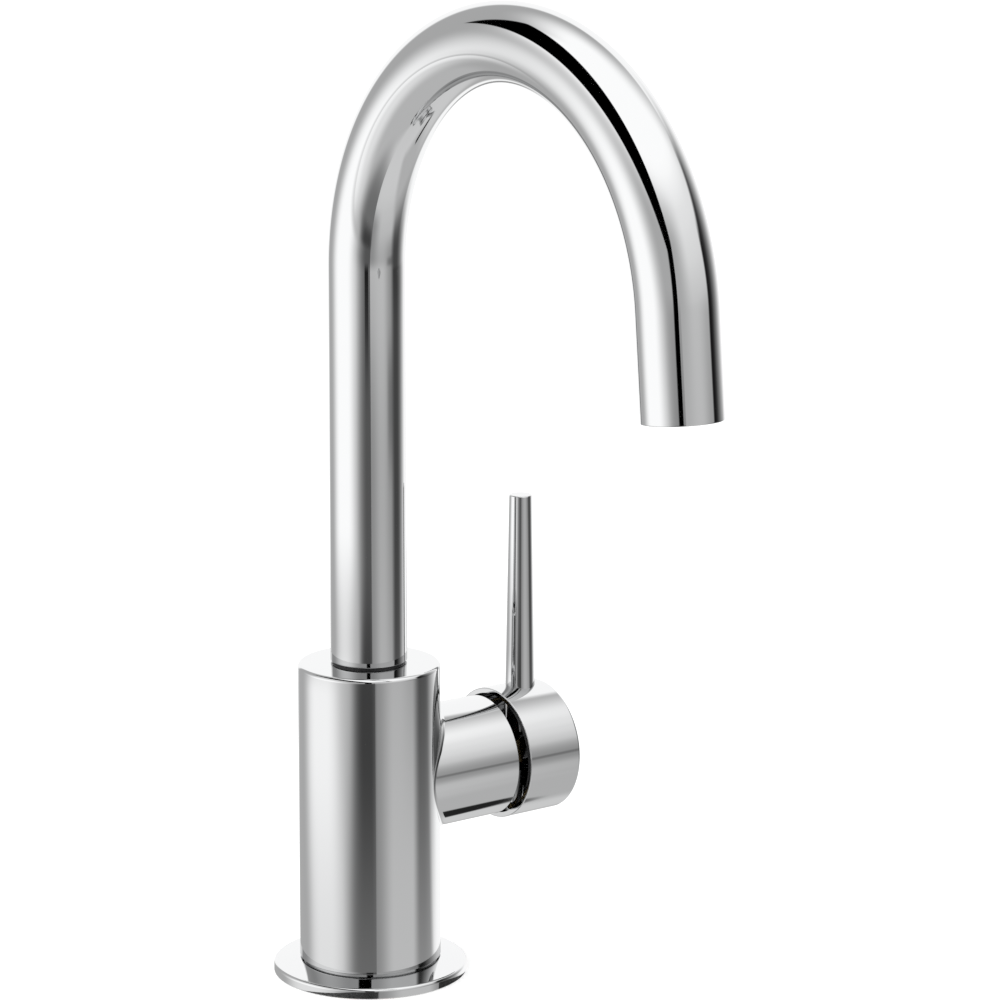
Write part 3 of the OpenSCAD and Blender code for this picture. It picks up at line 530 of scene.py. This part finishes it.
def bendTree():
    tree = bpy.data.node_groups.new("bendTube", "GeometryNodeTree")
    for label, kind in (("Geometry", "Geometry"), ("Bend Start", "Float"), ("Bend Radius", "Float"),
                        ("Bend Angle", "Float"), ("Material", "Material")):
        tree.interface.new_socket(name=label, in_out="INPUT", socket_type="NodeSocket" + kind)
    tree.interface.new_socket(name="Geometry", in_out="OUTPUT", socket_type="NodeSocketGeometry")
    given = tree.nodes.new("NodeGroupInput").outputs
    output = tree.nodes.new("NodeGroupOutput").inputs
    position = tree.nodes.new("GeometryNodeInputPosition").outputs[0]
    place = newNode(tree, "ShaderNodeSeparateXYZ", i0=position)
    x, y, z = place.outputs
    above = calc(tree, "SUBTRACT", z, given["Bend Start"])
    turned = calc(tree, "DIVIDE", above, given["Bend Radius"])
    angle = calc(tree, "MAXIMUM", calc(tree, "MINIMUM", turned, given["Bend Angle"]), 0.0)
    straight = calc(tree, "SUBTRACT", above, calc(tree, "MULTIPLY", angle, given["Bend Radius"]))
    arm = calc(tree, "ADD", y, given["Bend Radius"])
    sine, cosine = calc(tree, "SINE", angle), calc(tree, "COSINE", angle)
    newY = calc(tree, "SUBTRACT", calc(tree, "MULTIPLY", arm, cosine),
                calc(tree, "MULTIPLY", straight, sine))
    newY = calc(tree, "SUBTRACT", newY, given["Bend Radius"])
    newZ = calc(tree, "ADD", calc(tree, "MULTIPLY", arm, sine), calc(tree, "MULTIPLY", straight, cosine))
    newZ = calc(tree, "ADD", newZ, given["Bend Start"])
    moved = newNode(tree, "ShaderNodeCombineXYZ", i0=x, i1=newY, i2=newZ)
    bent = newNode(tree, "GeometryNodeSetPosition", Geometry=given["Geometry"], Position=moved.outputs[0])
    real = newNode(tree, "GeometryNodeRealizeInstances", Geometry=bent.outputs[0])
    painted = newNode(tree, "GeometryNodeSetMaterial", Geometry=real.outputs[0], Material=given["Material"])
    tree.links.new(painted.outputs[0], output["Geometry"])
    return tree


def runTree(piece, tree, values, name, body, slotName, *replaced):
    # applies a geometry node tree and turns its result into a plain mesh
    bpy.context.scene.collection.objects.link(piece)
    modifier = piece.modifiers.new("build", "NODES")
    modifier.node_group = tree
    for item in tree.interface.items_tree:
        if item.in_out == "INPUT" and item.name in values:
            modifier[item.identifier] = values[item.name]
    evaluated = piece.evaluated_get(bpy.context.evaluated_depsgraph_get())
    mesh = bpy.data.meshes.new_from_object(evaluated)
    mesh.name = name
    bpy.data.objects.remove(piece)
    made = bpy.data.objects.new(name, mesh)
    return finishPiece(made, body, slotName, *replaced)


def makeSpout(s):
    skin = newSkin()
    foot, lip, lipRow, lipCuts = s["foot"], s["lip"], s["lipRow"], s["lipCuts"]
    riserRows, bendRows, outletRows = s["riserRows"], s["bendRows"], s["outletRows"]
    top = s["bendStart"] + radians(s["bendAngle"]) * s["bendRadius"] + s["outletRun"]
    arcEnd = top - s["outletRun"]
    heights = [foot + lip, foot + lipRow]
    heights += [foot + (s["bendStart"] - foot) * i / riserRows for i in range(1, riserRows)]
    heights += [s["bendStart"] + (arcEnd - s["bendStart"]) * i / bendRows for i in range(bendRows + 1)]
    heights += [arcEnd + s["outletRun"] * i / outletRows for i in range(1, outletRows)]
    heights += [top - lipRow, top - lip]
    outer = [(s["outer"], z, 1, 0) for z in heights]
    inner = [(s["inner"], z, -1, 0) for z in reversed(heights)]
    lathe(skin, [
        outer,
        arc(s["outer"] - lip, top - lip, lip, 0, 90, lipCuts),
        line(s["outer"] - lip, top, s["inner"] + lip, top),
        arc(s["inner"] + lip, top - lip, lip, 90, 180, lipCuts),
        inner,
        arc(s["inner"] + lip, foot + lip, lip, 180, 270, lipCuts),
        line(s["inner"] + lip, foot, s["outer"] - lip, foot),
        arc(s["outer"] - lip, foot + lip, lip, 270, 360, lipCuts),
    ], steps=s["steps"])
    mesh = bpy.data.meshes.new("straightTube")
    mesh.from_pydata([p * mm for p in skin["points"]], [], skin["faces"])
    mesh.shade_smooth()
    straight = bpy.data.objects.new("straightTube", mesh)
    values = {"Bend Start": s["bendStart"] * mm, "Bend Radius": s["bendRadius"] * mm,
              "Bend Angle": radians(s["bendAngle"]), "Material": finishes["chrome"]}
    return runTree(straight, bendTree(), values, "spoutTube", "spout", "chrome", "spout_tube")


makeSpout(spoutSize)


# Glide ring, in the shadow line under the spout
glideSize = {"bore": 10.65, "wall": 11.85, "flange": 12.2, "foot": 102.0, "step": 106.9, "top": 107.6,
             "steps": 128}


def makeGlideRing(s):
    skin = newSkin()
    lathe(skin, [
        line(s["bore"], s["foot"], s["wall"], s["foot"]),
        line(s["wall"], s["foot"], s["wall"], s["step"]),
        line(s["wall"], s["step"], s["flange"], s["step"]),
        line(s["flange"], s["step"], s["flange"], s["top"]),
        line(s["flange"], s["top"], s["bore"], s["top"]),
        line(s["bore"], s["top"], s["bore"], s["foot"]),
    ], steps=s["steps"])
    return finishSkin(skin, "glideRing", "faucet_body", "black_plastic", "glide_ring")


makeGlideRing(glideSize)


# Ball-shaped bonnet, in the gap behind the cap
bonnetSize = {"centre": 38.0, "outer": 19.4, "inner": 18.2, "mouth": 11.5, "base": 8.5, "skirt": 1.4,
              "cuts": 20, "steps": 160}


def makeBonnet(s):
    skin = newSkin()
    place = Matrix.Translation((s["centre"], 0, 0)) @ hubPlace
    outerMouth, innerMouth = acos(s["mouth"] / s["outer"]), acos(s["mouth"] / s["inner"])
    outerBase, innerBase = asin(s["base"] / s["outer"]), asin(s["base"] / s["inner"])
    r1, r0, low = s["outer"] * cos(outerBase), s["inner"] * cos(innerBase), s["base"] - s["skirt"]
    lathe(skin, [
        line(r0, low, r1, low),
        line(r1, low, r1, s["base"]),
        arc(0, 0, s["outer"], degrees(outerBase), degrees(outerMouth), s["cuts"]),
        line(s["mouth"], s["outer"] * sin(outerMouth), s["mouth"], s["inner"] * sin(innerMouth)),
        arc(0, 0, s["inner"], degrees(innerMouth), degrees(innerBase), s["cuts"], hollow=True),
        line(r0, s["base"], r0, low),
    ], place, steps=s["steps"])
    return finishSkin(skin, "bonnet", "faucet_body", "black_plastic", "bonnet_dome")


makeBonnet(bonnetSize)


# Handle cap, with a boss for the stem and posts for the lever and the screw
capSize = {"rim": 51.0, "end": 72.3, "outer": 22.4, "bore": 20.65, "rimEdge": 0.35, "edge": 1.0,
           "floor": 68.8, "bossFace": 58.4, "boss": 8.16, "leverX": 63.1, "post": 5.5, "postTop": 3.5,
           "screwHole": 2.55, "screwTop": 3.9, "rimCuts": 6, "edgeCuts": 12, "holeSteps": 96,
           "outerRowGap": 2.5, "innerRowGap": 3.0}


def makeCap(s):
    skin = newSkin()
    edge, rim = s["edge"], s["rimEdge"]
    lathe(skin, [
        line(s["bore"], s["rim"], s["outer"] - rim, s["rim"]),
        arc(s["outer"] - rim, s["rim"] + rim, rim, -90, 0, s["rimCuts"]),
        arc(s["outer"] - edge, s["end"] - edge, edge, 0, 90, s["edgeCuts"]),
        line(s["outer"] - edge, s["end"], 0, s["end"], 4),
        line(s["boss"], s["floor"], s["bore"], s["floor"]),
        line(s["boss"], s["bossFace"], s["boss"], s["floor"]),
        line(0, s["bossFace"], s["boss"], s["bossFace"]),
    ], hubPlace)

    # seams at the sides, so that the holes above and below lie clear of them
    count = s["holeSteps"]
    around = [2 * pi * i / count for i in range(count)]

    def crossing(hole, radius, below):
        middle = pi if below else 0.0
        side = -1 if below else 1
        return [(middle + side * asin(hole * sin(a) / radius), s["leverX"] + hole * cos(a)) for a in around]

    screw = crossing(s["screwHole"], s["outer"], True)
    drum(skin, hubPlace, s["outer"], s["rim"] + rim, s["end"] - edge, [screw],
         rowGap=s["outerRowGap"], seam=-pi / 2)
    posts = [crossing(s["post"], s["bore"], below) for below in (True, False)]
    drum(skin, hubPlace, s["bore"], s["rim"], s["floor"], posts, -1, rowGap=s["innerRowGap"], seam=-pi / 2)

    def onDrum(loop, radius, sideways):
        row = []
        for (angle, x), a in zip(loop, around):
            point = hubPlace @ Vector((radius * cos(angle), radius * sin(angle), x))
            row.append((point, Vector((cos(a), sin(a), 0)) * sideways))
        return row

    def disc(radius, height, normalZ):
        centre = Vector((s["leverX"], 0, hubHeight + height))
        normal = Vector((0, 0, normalZ))
        row = [(centre + Vector((radius * cos(a), radius * sin(a), 0)), normal) for a in around]
        for i in range(count):
            addFace(skin, [row[i], row[(i + 1) % count], (centre, normal)])

    def upright(radius, height, sideways):
        return [(Vector((s["leverX"] + radius * cos(a), radius * sin(a), hubHeight + height)),
                 Vector((cos(a), sin(a), 0)) * sideways) for a in around]

    strip(skin, onDrum(screw, s["outer"], -1), upright(s["screwHole"], -s["screwTop"], -1))
    disc(s["screwHole"], -s["screwTop"], -1)
    for loop, side in zip(posts, (-1, 1)):
        strip(skin, onDrum(loop, s["bore"], 1), upright(s["post"], side * s["postTop"], 1))
        disc(s["post"], side * s["postTop"], -side)
    return finishSkin(skin, "handleCap", "handle", "chrome", "handle_cap")


makeCap(capSize)

# Lever, with a spigot in the cap's post
leverSize = {"x": 63.1, "foot": 5.0, "tip": 3.9, "footZ": 88.8, "length": 66.4, "sink": 0.9,
             "tipEdge": 0.45, "spigot": 2.95, "spigotLength": 12.0, "rows": 12, "edgeCuts": 8, "steps": 128}


def makeLever(s):
    skin = newSkin()
    slope = (s["foot"] - s["tip"]) / s["length"]
    tilt = slope / hypot(1, slope)
    top, edge, low, rows = s["length"], s["tipEdge"], -s["sink"], s["rows"]
    heights = [low + (top - edge - low) * i / rows for i in range(rows + 1)]
    cone = [(s["foot"] - slope * z, z, 1, tilt) for z in heights]
    tipR = s["foot"] - slope * (top - edge)
    lathe(skin, [
        cone,
        arc(tipR - edge, top - edge, edge, 0, 90, s["edgeCuts"]),
        line(tipR - edge, top, 0, top, 2),
        line(s["spigot"], low, cone[0][0], low),
        line(s["spigot"], -s["spigotLength"], s["spigot"], low),
        line(0, -s["spigotLength"], s["spigot"], -s["spigotLength"]),
    ], Matrix.Translation((s["x"], 0, s["footZ"])), steps=s["steps"])
    return finishSkin(skin, "handleLever", "handle", "chrome", "handle_lever")


makeLever(leverSize)


# Shank: a turned core, and a ridge that a node tree winds round it
shankSize = {"end": -65.0, "leadTop": -59.0, "lead": 15.7, "root": 15.75, "crest": 16.5, "threadTop": -0.5,
             "headFoot": 8.2, "head": 20.65, "headTop": 20.9, "bore": 14.2, "pitch": 1.5, "steps": 128}


def threadTree():
    tree = bpy.data.node_groups.new("threadRidge", "GeometryNodeTree")
    for label in ("Root Radius", "Depth", "Pitch", "Length", "Foot"):
        tree.interface.new_socket(name=label, in_out="INPUT", socket_type="NodeSocketFloat")
    tree.interface.new_socket(name="Material", in_out="INPUT", socket_type="NodeSocketMaterial")
    tree.interface.new_socket(name="Geometry", in_out="OUTPUT", socket_type="NodeSocketGeometry")
    given = tree.nodes.new("NodeGroupInput").outputs
    output = tree.nodes.new("NodeGroupOutput").inputs
    turns = calc(tree, "DIVIDE", given["Length"], given["Pitch"])
    helix = newNode(tree, "GeometryNodeCurveSpiral", Resolution=64, Rotations=turns, Height=given["Length"])
    tree.links.new(given["Root Radius"], helix.inputs["Start Radius"])
    tree.links.new(given["Root Radius"], helix.inputs["End Radius"])
    up = newNode(tree, "GeometryNodeSetCurveNormal", {"mode": "Z_UP"}, Curve=helix.outputs[0])
    section = newNode(tree, "GeometryNodeCurvePrimitiveCircle", Resolution=4)
    tree.links.new(given["Depth"], section.inputs["Radius"])
    ridge = newNode(tree, "GeometryNodeCurveToMesh", Curve=up.outputs[0])
    tree.links.new(section.outputs[0], ridge.inputs["Profile Curve"])
    ridge.inputs["Fill Caps"].default_value = True
    lift = newNode(tree, "ShaderNodeCombineXYZ", i2=given["Foot"])
    raised = newNode(tree, "GeometryNodeTransform", Geometry=ridge.outputs[0], Translation=lift.outputs[0])
    flat = newNode(tree, "GeometryNodeSetShadeSmooth", Geometry=raised.outputs[0])
    flat.inputs["Shade Smooth"].default_value = False
    real = newNode(tree, "GeometryNodeRealizeInstances", Geometry=flat.outputs[0])
    painted = newNode(tree, "GeometryNodeSetMaterial", Geometry=real.outputs[0], Material=given["Material"])
    tree.links.new(painted.outputs[0], output["Geometry"])
    return tree


def makeShank(s):
    skin = newSkin()
    lathe(skin, [
        line(s["bore"], s["end"], s["lead"], s["end"]),
        line(s["lead"], s["end"], s["lead"], s["leadTop"]),
        line(s["lead"], s["leadTop"], s["root"], s["leadTop"]),
        line(s["root"], s["leadTop"], s["root"], s["threadTop"]),
        line(s["root"], s["threadTop"], s["crest"], s["threadTop"]),
        line(s["crest"], s["threadTop"], s["crest"], s["headFoot"]),
        line(s["crest"], s["headFoot"], s["head"], s["headFoot"]),
        line(s["head"], s["headFoot"], s["head"], s["headTop"]),
        line(s["head"], s["headTop"], s["bore"], s["headTop"]),
        line(s["bore"], s["headTop"], s["bore"], s["end"]),
    ], steps=s["steps"])
    finishSkin(skin, "shankCore", "faucet_body", "brass", "mounting_shank")
    depth = s["crest"] - s["root"]
    length, foot = s["threadTop"] - s["leadTop"] - 2 * depth, s["leadTop"] + depth
    values = {"Root Radius": s["root"] * mm, "Depth": depth * mm, "Pitch": s["pitch"] * mm,
              "Length": length * mm, "Foot": foot * mm, "Material": finishes["brass"]}
    holder = bpy.data.objects.new("threadHolder", bpy.data.meshes.new("threadHolder"))
    return runTree(holder, threadTree(), values, "shankThread", "faucet_body", "brass", "mounting_shank")


makeShank(shankSize)


# Camera, at the photo's own angle
cameraFit = {"azimuth": -36.996, "elevation": 12.648, "roll": 0.094, "distance": 1.3236,
             "lens": 144.82, "targetHeight": 0.16168, "targetRight": 0.04344}

azimuth, elevation, roll = (radians(cameraFit[k]) for k in ("azimuth", "elevation", "roll"))
right = Vector((cos(azimuth), sin(azimuth), 0))
towards = Vector((sin(azimuth), -cos(azimuth), 0))      # level, from the object to the camera
back = towards * cos(elevation) + Vector((0, 0, sin(elevation)))
up = back.cross(right)                                  # before the roll
sideways, upwards = right * cos(roll) + up * sin(roll), up * cos(roll) - right * sin(roll)
camera = bpy.data.objects.new("photoCamera", bpy.data.cameras.new("photoCamera"))
camera.data.lens, camera.data.sensor_width = cameraFit["lens"], 36.0
target = right * cameraFit["targetRight"] + Vector((0, 0, cameraFit["targetHeight"]))
turn = Matrix((sideways, upwards, back)).transposed().to_4x4()
camera.matrix_world = Matrix.Translation(target + back * cameraFit["distance"]) @ turn
bpy.context.scene.collection.objects.link(camera)
bpy.context.scene.camera = camera

# Floor: half its width and its height in metres, and its own light
floorSize = {"half": 6.0, "height": -0.0001, "glow": 0.4}


def seenRay(tree):
    # 1 for what the camera, metal or glass looks at
    path = tree.nodes.new("ShaderNodeLightPath").outputs
    seen = calc(tree, "MAXIMUM", path["Is Camera Ray"], path["Is Glossy Ray"])
    return calc(tree, "MAXIMUM", seen, path["Is Transmission Ray"])


def makeFloor(s):
    h, z = s["half"], s["height"]
    mesh = bpy.data.meshes.new("studioFloor")
    mesh.from_pydata([(-h, -h, z), (h, -h, z), (h, h, z), (-h, h, z)], [], [(0, 1, 2, 3)])
    floor = bpy.data.objects.new("studioFloor", mesh)
    bpy.context.scene.collection.objects.link(floor)
    material, tree, shader, coordinates = newMaterial("palePaper")
    shader.inputs["Roughness"].default_value = 0.9
    fibres = newNode(tree, "ShaderNodeTexNoise", Vector=coordinates, Scale=400.0, Detail=3.0)
    tone = newNode(tree, "ShaderNodeMix", {"data_type": "RGBA"}, i0=fibres.outputs[0],
                   i6=(0.95, 0.95, 0.95, 1), i7=(0.98, 0.98, 0.98, 1))
    tree.links.new(tone.outputs[2], shader.inputs["Base Color"])
    shader.inputs["Emission Color"].default_value = (1, 1, 1, 1)
    tree.links.new(calc(tree, "MULTIPLY", seenRay(tree), s["glow"]), shader.inputs["Emission Strength"])
    mesh.materials.append(material)
    floor.visible_glossy = False      # metal mirrors the lower half of the studio instead


makeFloor(floorSize)

# The studio that the metal mirrors is painted on a dome. Angles are in degrees as seen from the
# dome's centre, from the camera's side: azimuth grows to the right, elevation upwards. Levels are
# display levels. A card fades in over the first two numbers of each span and out over the last two.
dome = {"radius": 1.1, "centre": (0.0, 0.0, 0.12), "gain": 1.03, "gamma": 2.2, "leanLimit": 18.0,
        "sweep": [(-90, 0.77), (-60, 0.785), (-42, 0.78), (-34, 0.755), (-27, 0.735), (-20, 0.71),
                  (-9, 0.66), (-4, 0.725), (5, 0.73), (10, 0.76), (20, 0.825), (30, 0.872), (38, 0.905),
                  (46, 0.97), (52, 1.0)]}
panels = {
    "floorLeft": {"across": (-165, -145, -30, 25), "height": (-95, -91, -34, -20), "level": 0.70},
    "counterNear": {"across": (10, 11, 12, 42), "height": (-36, -24, -10, -2), "level": 0.54},
    "underFlag": {"across": (-140, -115, 9, 44), "height": (-6, 8, 24, 46), "level": 0.65},
    "floorRight": {"across": (70, 88, 122, 150), "height": (-68, -56, -32, -24), "level": 0.68},
    "backWall": {"azimuth": 180, "across": (-95, -20, 62, 85), "height": (-40, -28, 50, 80), "level": 0.65},
    "backLight": {"azimuth": 157, "elevation": 8, "half": (63, 42), "core": 0.86, "level": 0.975},
    "rimLine": {"azimuth": 180, "elevation": -15, "half": (22, 5), "core": 0.35, "level": 0.55},
    "lightPool": {"azimuth": -75, "elevation": -22, "half": (52, 24), "core": 0.2, "level": 0.88},
    "softBox": {"azimuth": -73, "elevation": -4, "half": (57, 50), "core": 0.25, "foot": (-15, -11),
                "level": 1.0},
    "bodyGlow": {"across": (-135, -92, -72, -42), "height": (-24.5, -17.5, -16.2, -15.0), "level": 0.96},
    "frontShade": {"across": (-34, 0, 10.8, 12), "height": (-70, -12, -9, 12), "level": 0.33},
    "lowShade": {"across": (-46, -12, 11, 12), "height": (-70, -24, -23, -14), "level": 0.42},
    "bodyShade": {"across": (-30, -6, 4, 16), "height": (-26, -17, -16, -12), "level": 0.25},
    "neckShade": {"across": (115, 121, 140, 160), "height": (-58.5, -57, -55, -53.5), "level": 0.15},
    "horizonHaze": {"across": (48, 80, 92, 98), "height": (-22, -9, -5, 14), "level": 0.55},
    "horizonLine": {"across": (58, 75, 92, 98), "height": (-10.5, -7.6, -7.0, -4.5), "level": 0.44},
    "doorFoot": {"across": (74, 92, 98, 146), "height": (-36, -10, -4, -1), "level": 0.27},
    "door": {"across": (81.5, 88, 76, 152), "height": (-5, -1, 19, 29), "lean": 0.7, "level": 0.07},
}
# The black flag hangs flat over the soft box with a post at its right, seen from inside the spout's
# arch. Its sides are tangents there, and each fades over the number before and after its line.
flag = {"centre": (0.0, -0.079, 0.25), "azimuth": -75.0, "level": 0.01,
        "inner": 0.79, "innerFade": (0.02, 0.03), "outer": 1.98, "outerFade": (0.05, 0.12),
        "left": -1.12, "leftFade": (0.08, 0.03), "right": 4.9, "rightFade": 0.5,
        "postLeft": 2.6, "postLeftFade": (0.35, 0.1), "postRightFade": 0.4, "postTopFade": 0.1,
        "postFoot": (-8.0, -1.0)}


def makeDome(s, panels, f):
    form = bmesh.new()
    bmesh.ops.create_icosphere(form, subdivisions=5, radius=s["radius"],
                               matrix=Matrix.Translation(s["centre"]))
    mesh = bpy.data.meshes.new("studioDome")
    form.to_mesh(mesh)
    form.free()
    shell = bpy.data.objects.new("studioDome", mesh)
    bpy.context.scene.collection.objects.link(shell)
    shell.visible_camera = shell.visible_diffuse = shell.visible_shadow = False
    material = bpy.data.materials.new("studioDome")
    mesh.materials.append(material)
    material.use_nodes = True
    material.cycles.emission_sampling = "NONE"
    tree = material.node_tree
    tree.nodes.clear()
    place = tree.nodes.new("ShaderNodeTexCoord").outputs["Object"]

    def vector(operation, a, b=(0, 0, 0)):
        return newNode(tree, "ShaderNodeVectorMath", {"operation": operation}, i0=a, i1=b).outputs

    def lookFrom(centre):
        # how far the painted point lies ahead, to the right and up, on the unit ball round centre
        way = vector("NORMALIZE", vector("SUBTRACT", place, centre)[0])[0]
        return [vector("DOT_PRODUCT", way, axis)["Value"] for axis in (towards, right, (0, 0, 1))]

    ahead, side, height = lookFrom(s["centre"])
    az = calc(tree, "MULTIPLY", calc(tree, "ARCTAN2", side, ahead), degrees(1))
    el = calc(tree, "MULTIPLY", calc(tree, "ARCSINE", height), degrees(1))

    def blendTo(value, level, mask):
        return newNode(tree, "ShaderNodeMix", i0=mask, i2=value, i3=level).outputs[0]

    def times(*masks):
        product = masks[0]
        for mask in masks[1:]:
            product = calc(tree, "MULTIPLY", product, mask)
        return product

    def inside(value, span):
        return times(ramp(tree, value, span[0], span[1]), ramp(tree, value, span[3], span[2]))

    # the sweep from the white ceiling down to the grey floor
    tone = tree.nodes.new("ShaderNodeValToRGB")
    stops = tone.color_ramp.elements
    tone.color_ramp.interpolation = "CARDINAL"
    while len(stops) < len(s["sweep"]):
        stops.new(0.5)
    for stop, (angle, level) in zip(stops, s["sweep"]):
        stop.position = (angle + 90) / 180
        stop.color = (level, level, level, 1)
    tree.links.new(calc(tree, "DIVIDE", calc(tree, "ADD", el, 90.0), 180.0), tone.inputs[0])
    value = tone.outputs[0]

    for p in panels.values():
        turned = newNode(tree, "ShaderNodeMath", {"operation": "WRAP"}, i1=180.0, i2=-180.0,
                         i0=calc(tree, "SUBTRACT", az, p.get("azimuth", 0.0))).outputs[0]
        if "half" in p:
            u = calc(tree, "DIVIDE", turned, p["half"][0])
            w = calc(tree, "DIVIDE", calc(tree, "SUBTRACT", el, p["elevation"]), p["half"][1])
            spread = calc(tree, "SQRT", calc(tree, "ADD", times(u, u), times(w, w)))
            mask = ramp(tree, spread, 1.0, p["core"])
            if "foot" in p:
                mask = times(mask, ramp(tree, el, *p["foot"]))
        else:
            fromTop = el
            if "lean" in p:
                # the top edge climbs with the azimuth, up to a limit
                past = calc(tree, "SUBTRACT", turned, p["across"][1])
                past = calc(tree, "MINIMUM", calc(tree, "MAXIMUM", past, 0.0), s["leanLimit"])
                fromTop = calc(tree, "SUBTRACT", el, times(past, p["lean"]))
            mask = times(inside(turned, p["across"]), ramp(tree, el, *p["height"][:2]),
                         ramp(tree, fromTop, p["height"][3], p["height"][2]))
        value = blendTo(value, p["level"], mask)

    ahead, side, height = lookFrom(f["centre"])
    turn = radians(f["azimuth"])
    depth = calc(tree, "ADD", times(ahead, cos(turn)), times(side, sin(turn)))
    depth = calc(tree, "MAXIMUM", depth, 0.001)
    across = calc(tree, "SUBTRACT", times(side, cos(turn)), times(ahead, sin(turn)))
    u, w = calc(tree, "DIVIDE", across, depth), calc(tree, "DIVIDE", height, depth)

    def edges(name):
        before, after = f[name + "Fade"]
        return f[name] - before, f[name] + after

    end = f["right"]
    bar = times(inside(w, edges("inner") + edges("outer")),
                inside(u, edges("left") + (end, end + f["rightFade"])))
    post = times(inside(u, edges("postLeft") + (end, end + f["postRightFade"])),
                 ramp(tree, w, f["inner"] + f["postTopFade"], f["inner"]), ramp(tree, el, *f["postFoot"]))
    value = blendTo(value, f["level"], calc(tree, "MAXIMUM", bar, post))

    light = calc(tree, "POWER", times(value, s["gain"]), s["gamma"])
    glow = newNode(tree, "ShaderNodeEmission", Color=light, Strength=1.0)
    tree.links.new(glow.outputs[0], tree.nodes.new("ShaderNodeOutputMaterial").inputs[0])


makeDome(dome, panels, flag)

# Two dark crescents of painted shade on the table, close to the flange, seen only in the metal's
# reflections.
# Each span: angles of the flange's rim from the camera's side, and the crescent's widths there in
# millimetres.
crescents = {"rim": 32.6, "spans": ((-44, 6, 0.0, 9.0), (46, 80, 8.0, 1.0)), "cuts": 24}


def makeCrescents(s):
    points, faces = [], []
    for start, end, first, last in s["spans"]:
        for i in range(s["cuts"] + 1):
            part = i / s["cuts"]
            angle = radians(start + (end - start) * part)
            rim = (towards * cos(angle) + right * sin(angle)) * s["rim"]
            # the mirrored ray leaves the rim at twice the rim's angle
            way = towards * cos(2 * angle) + right * sin(2 * angle)
            points += [rim * mm, (rim + way * (first + (last - first) * part)) * mm]
            if i:
                n = len(points)
                faces.append((n - 4, n - 3, n - 1, n - 2))
    mesh = bpy.data.meshes.new("tableShade")
    mesh.from_pydata(points, [], faces)
    card = bpy.data.objects.new("tableShade", mesh)
    bpy.context.scene.collection.objects.link(card)
    # painted shade: a black card that stands for the table's shade as the flange's rim mirrors it
    material, tree, shader, coordinates = newMaterial("paintedTableShade")
    shadeCardNoise = newNode(tree, "ShaderNodeTexNoise", Vector=coordinates, Scale=900.0, Detail=2.0)
    tree.links.new(ramp(tree, shadeCardNoise.outputs[0], 0.0, 1.0), shader.inputs["Roughness"])
    shader.inputs["Base Color"].default_value = (0.01, 0.01, 0.01, 1)
    mesh.materials.append(material)
    card.visible_camera = card.visible_diffuse = card.visible_shadow = False


makeCrescents(crescents)

# The world's light, and one soft lamp that shines at the point at lampHeight over the deck
lighting = {"ambient": 0.85, "lampSize": 1.2, "lampPower": 5.0, "lampAzimuth": -75.0,
            "lampElevation": 32.0, "lampDistance": 1.7, "lampHeight": 0.15}


def makeLight(s):
    world = bpy.data.worlds.new("softLight")
    bpy.context.scene.world = world
    world.use_nodes = True
    tree = world.node_tree
    tree.nodes.clear()
    strength = newNode(tree, "ShaderNodeMix", i0=seenRay(tree), i2=s["ambient"], i3=1.0).outputs[0]
    background = newNode(tree, "ShaderNodeBackground", Color=(1, 1, 1, 1), Strength=strength)
    tree.links.new(background.outputs[0], tree.nodes.new("ShaderNodeOutputWorld").inputs[0])

    lamp = bpy.data.lights.new("softLamp", "AREA")
    lamp.size, lamp.energy = s["lampSize"], s["lampPower"]
    holder = bpy.data.objects.new("softLamp", lamp)
    bpy.context.scene.collection.objects.link(holder)
    turn, lift = radians(s["lampAzimuth"]), radians(s["lampElevation"])
    way = (towards * cos(turn) + right * sin(turn)) * cos(lift) + Vector((0, 0, sin(lift)))
    holder.location = way * s["lampDistance"] + Vector((0, 0, s["lampHeight"]))
    holder.rotation_euler = way.to_track_quat("Z", "Y").to_euler()
    holder.visible_glossy = False


makeLight(lighting)
bpy.context.scene.view_settings.view_transform = "Standard"
print("stage: camera, floor and studio made")
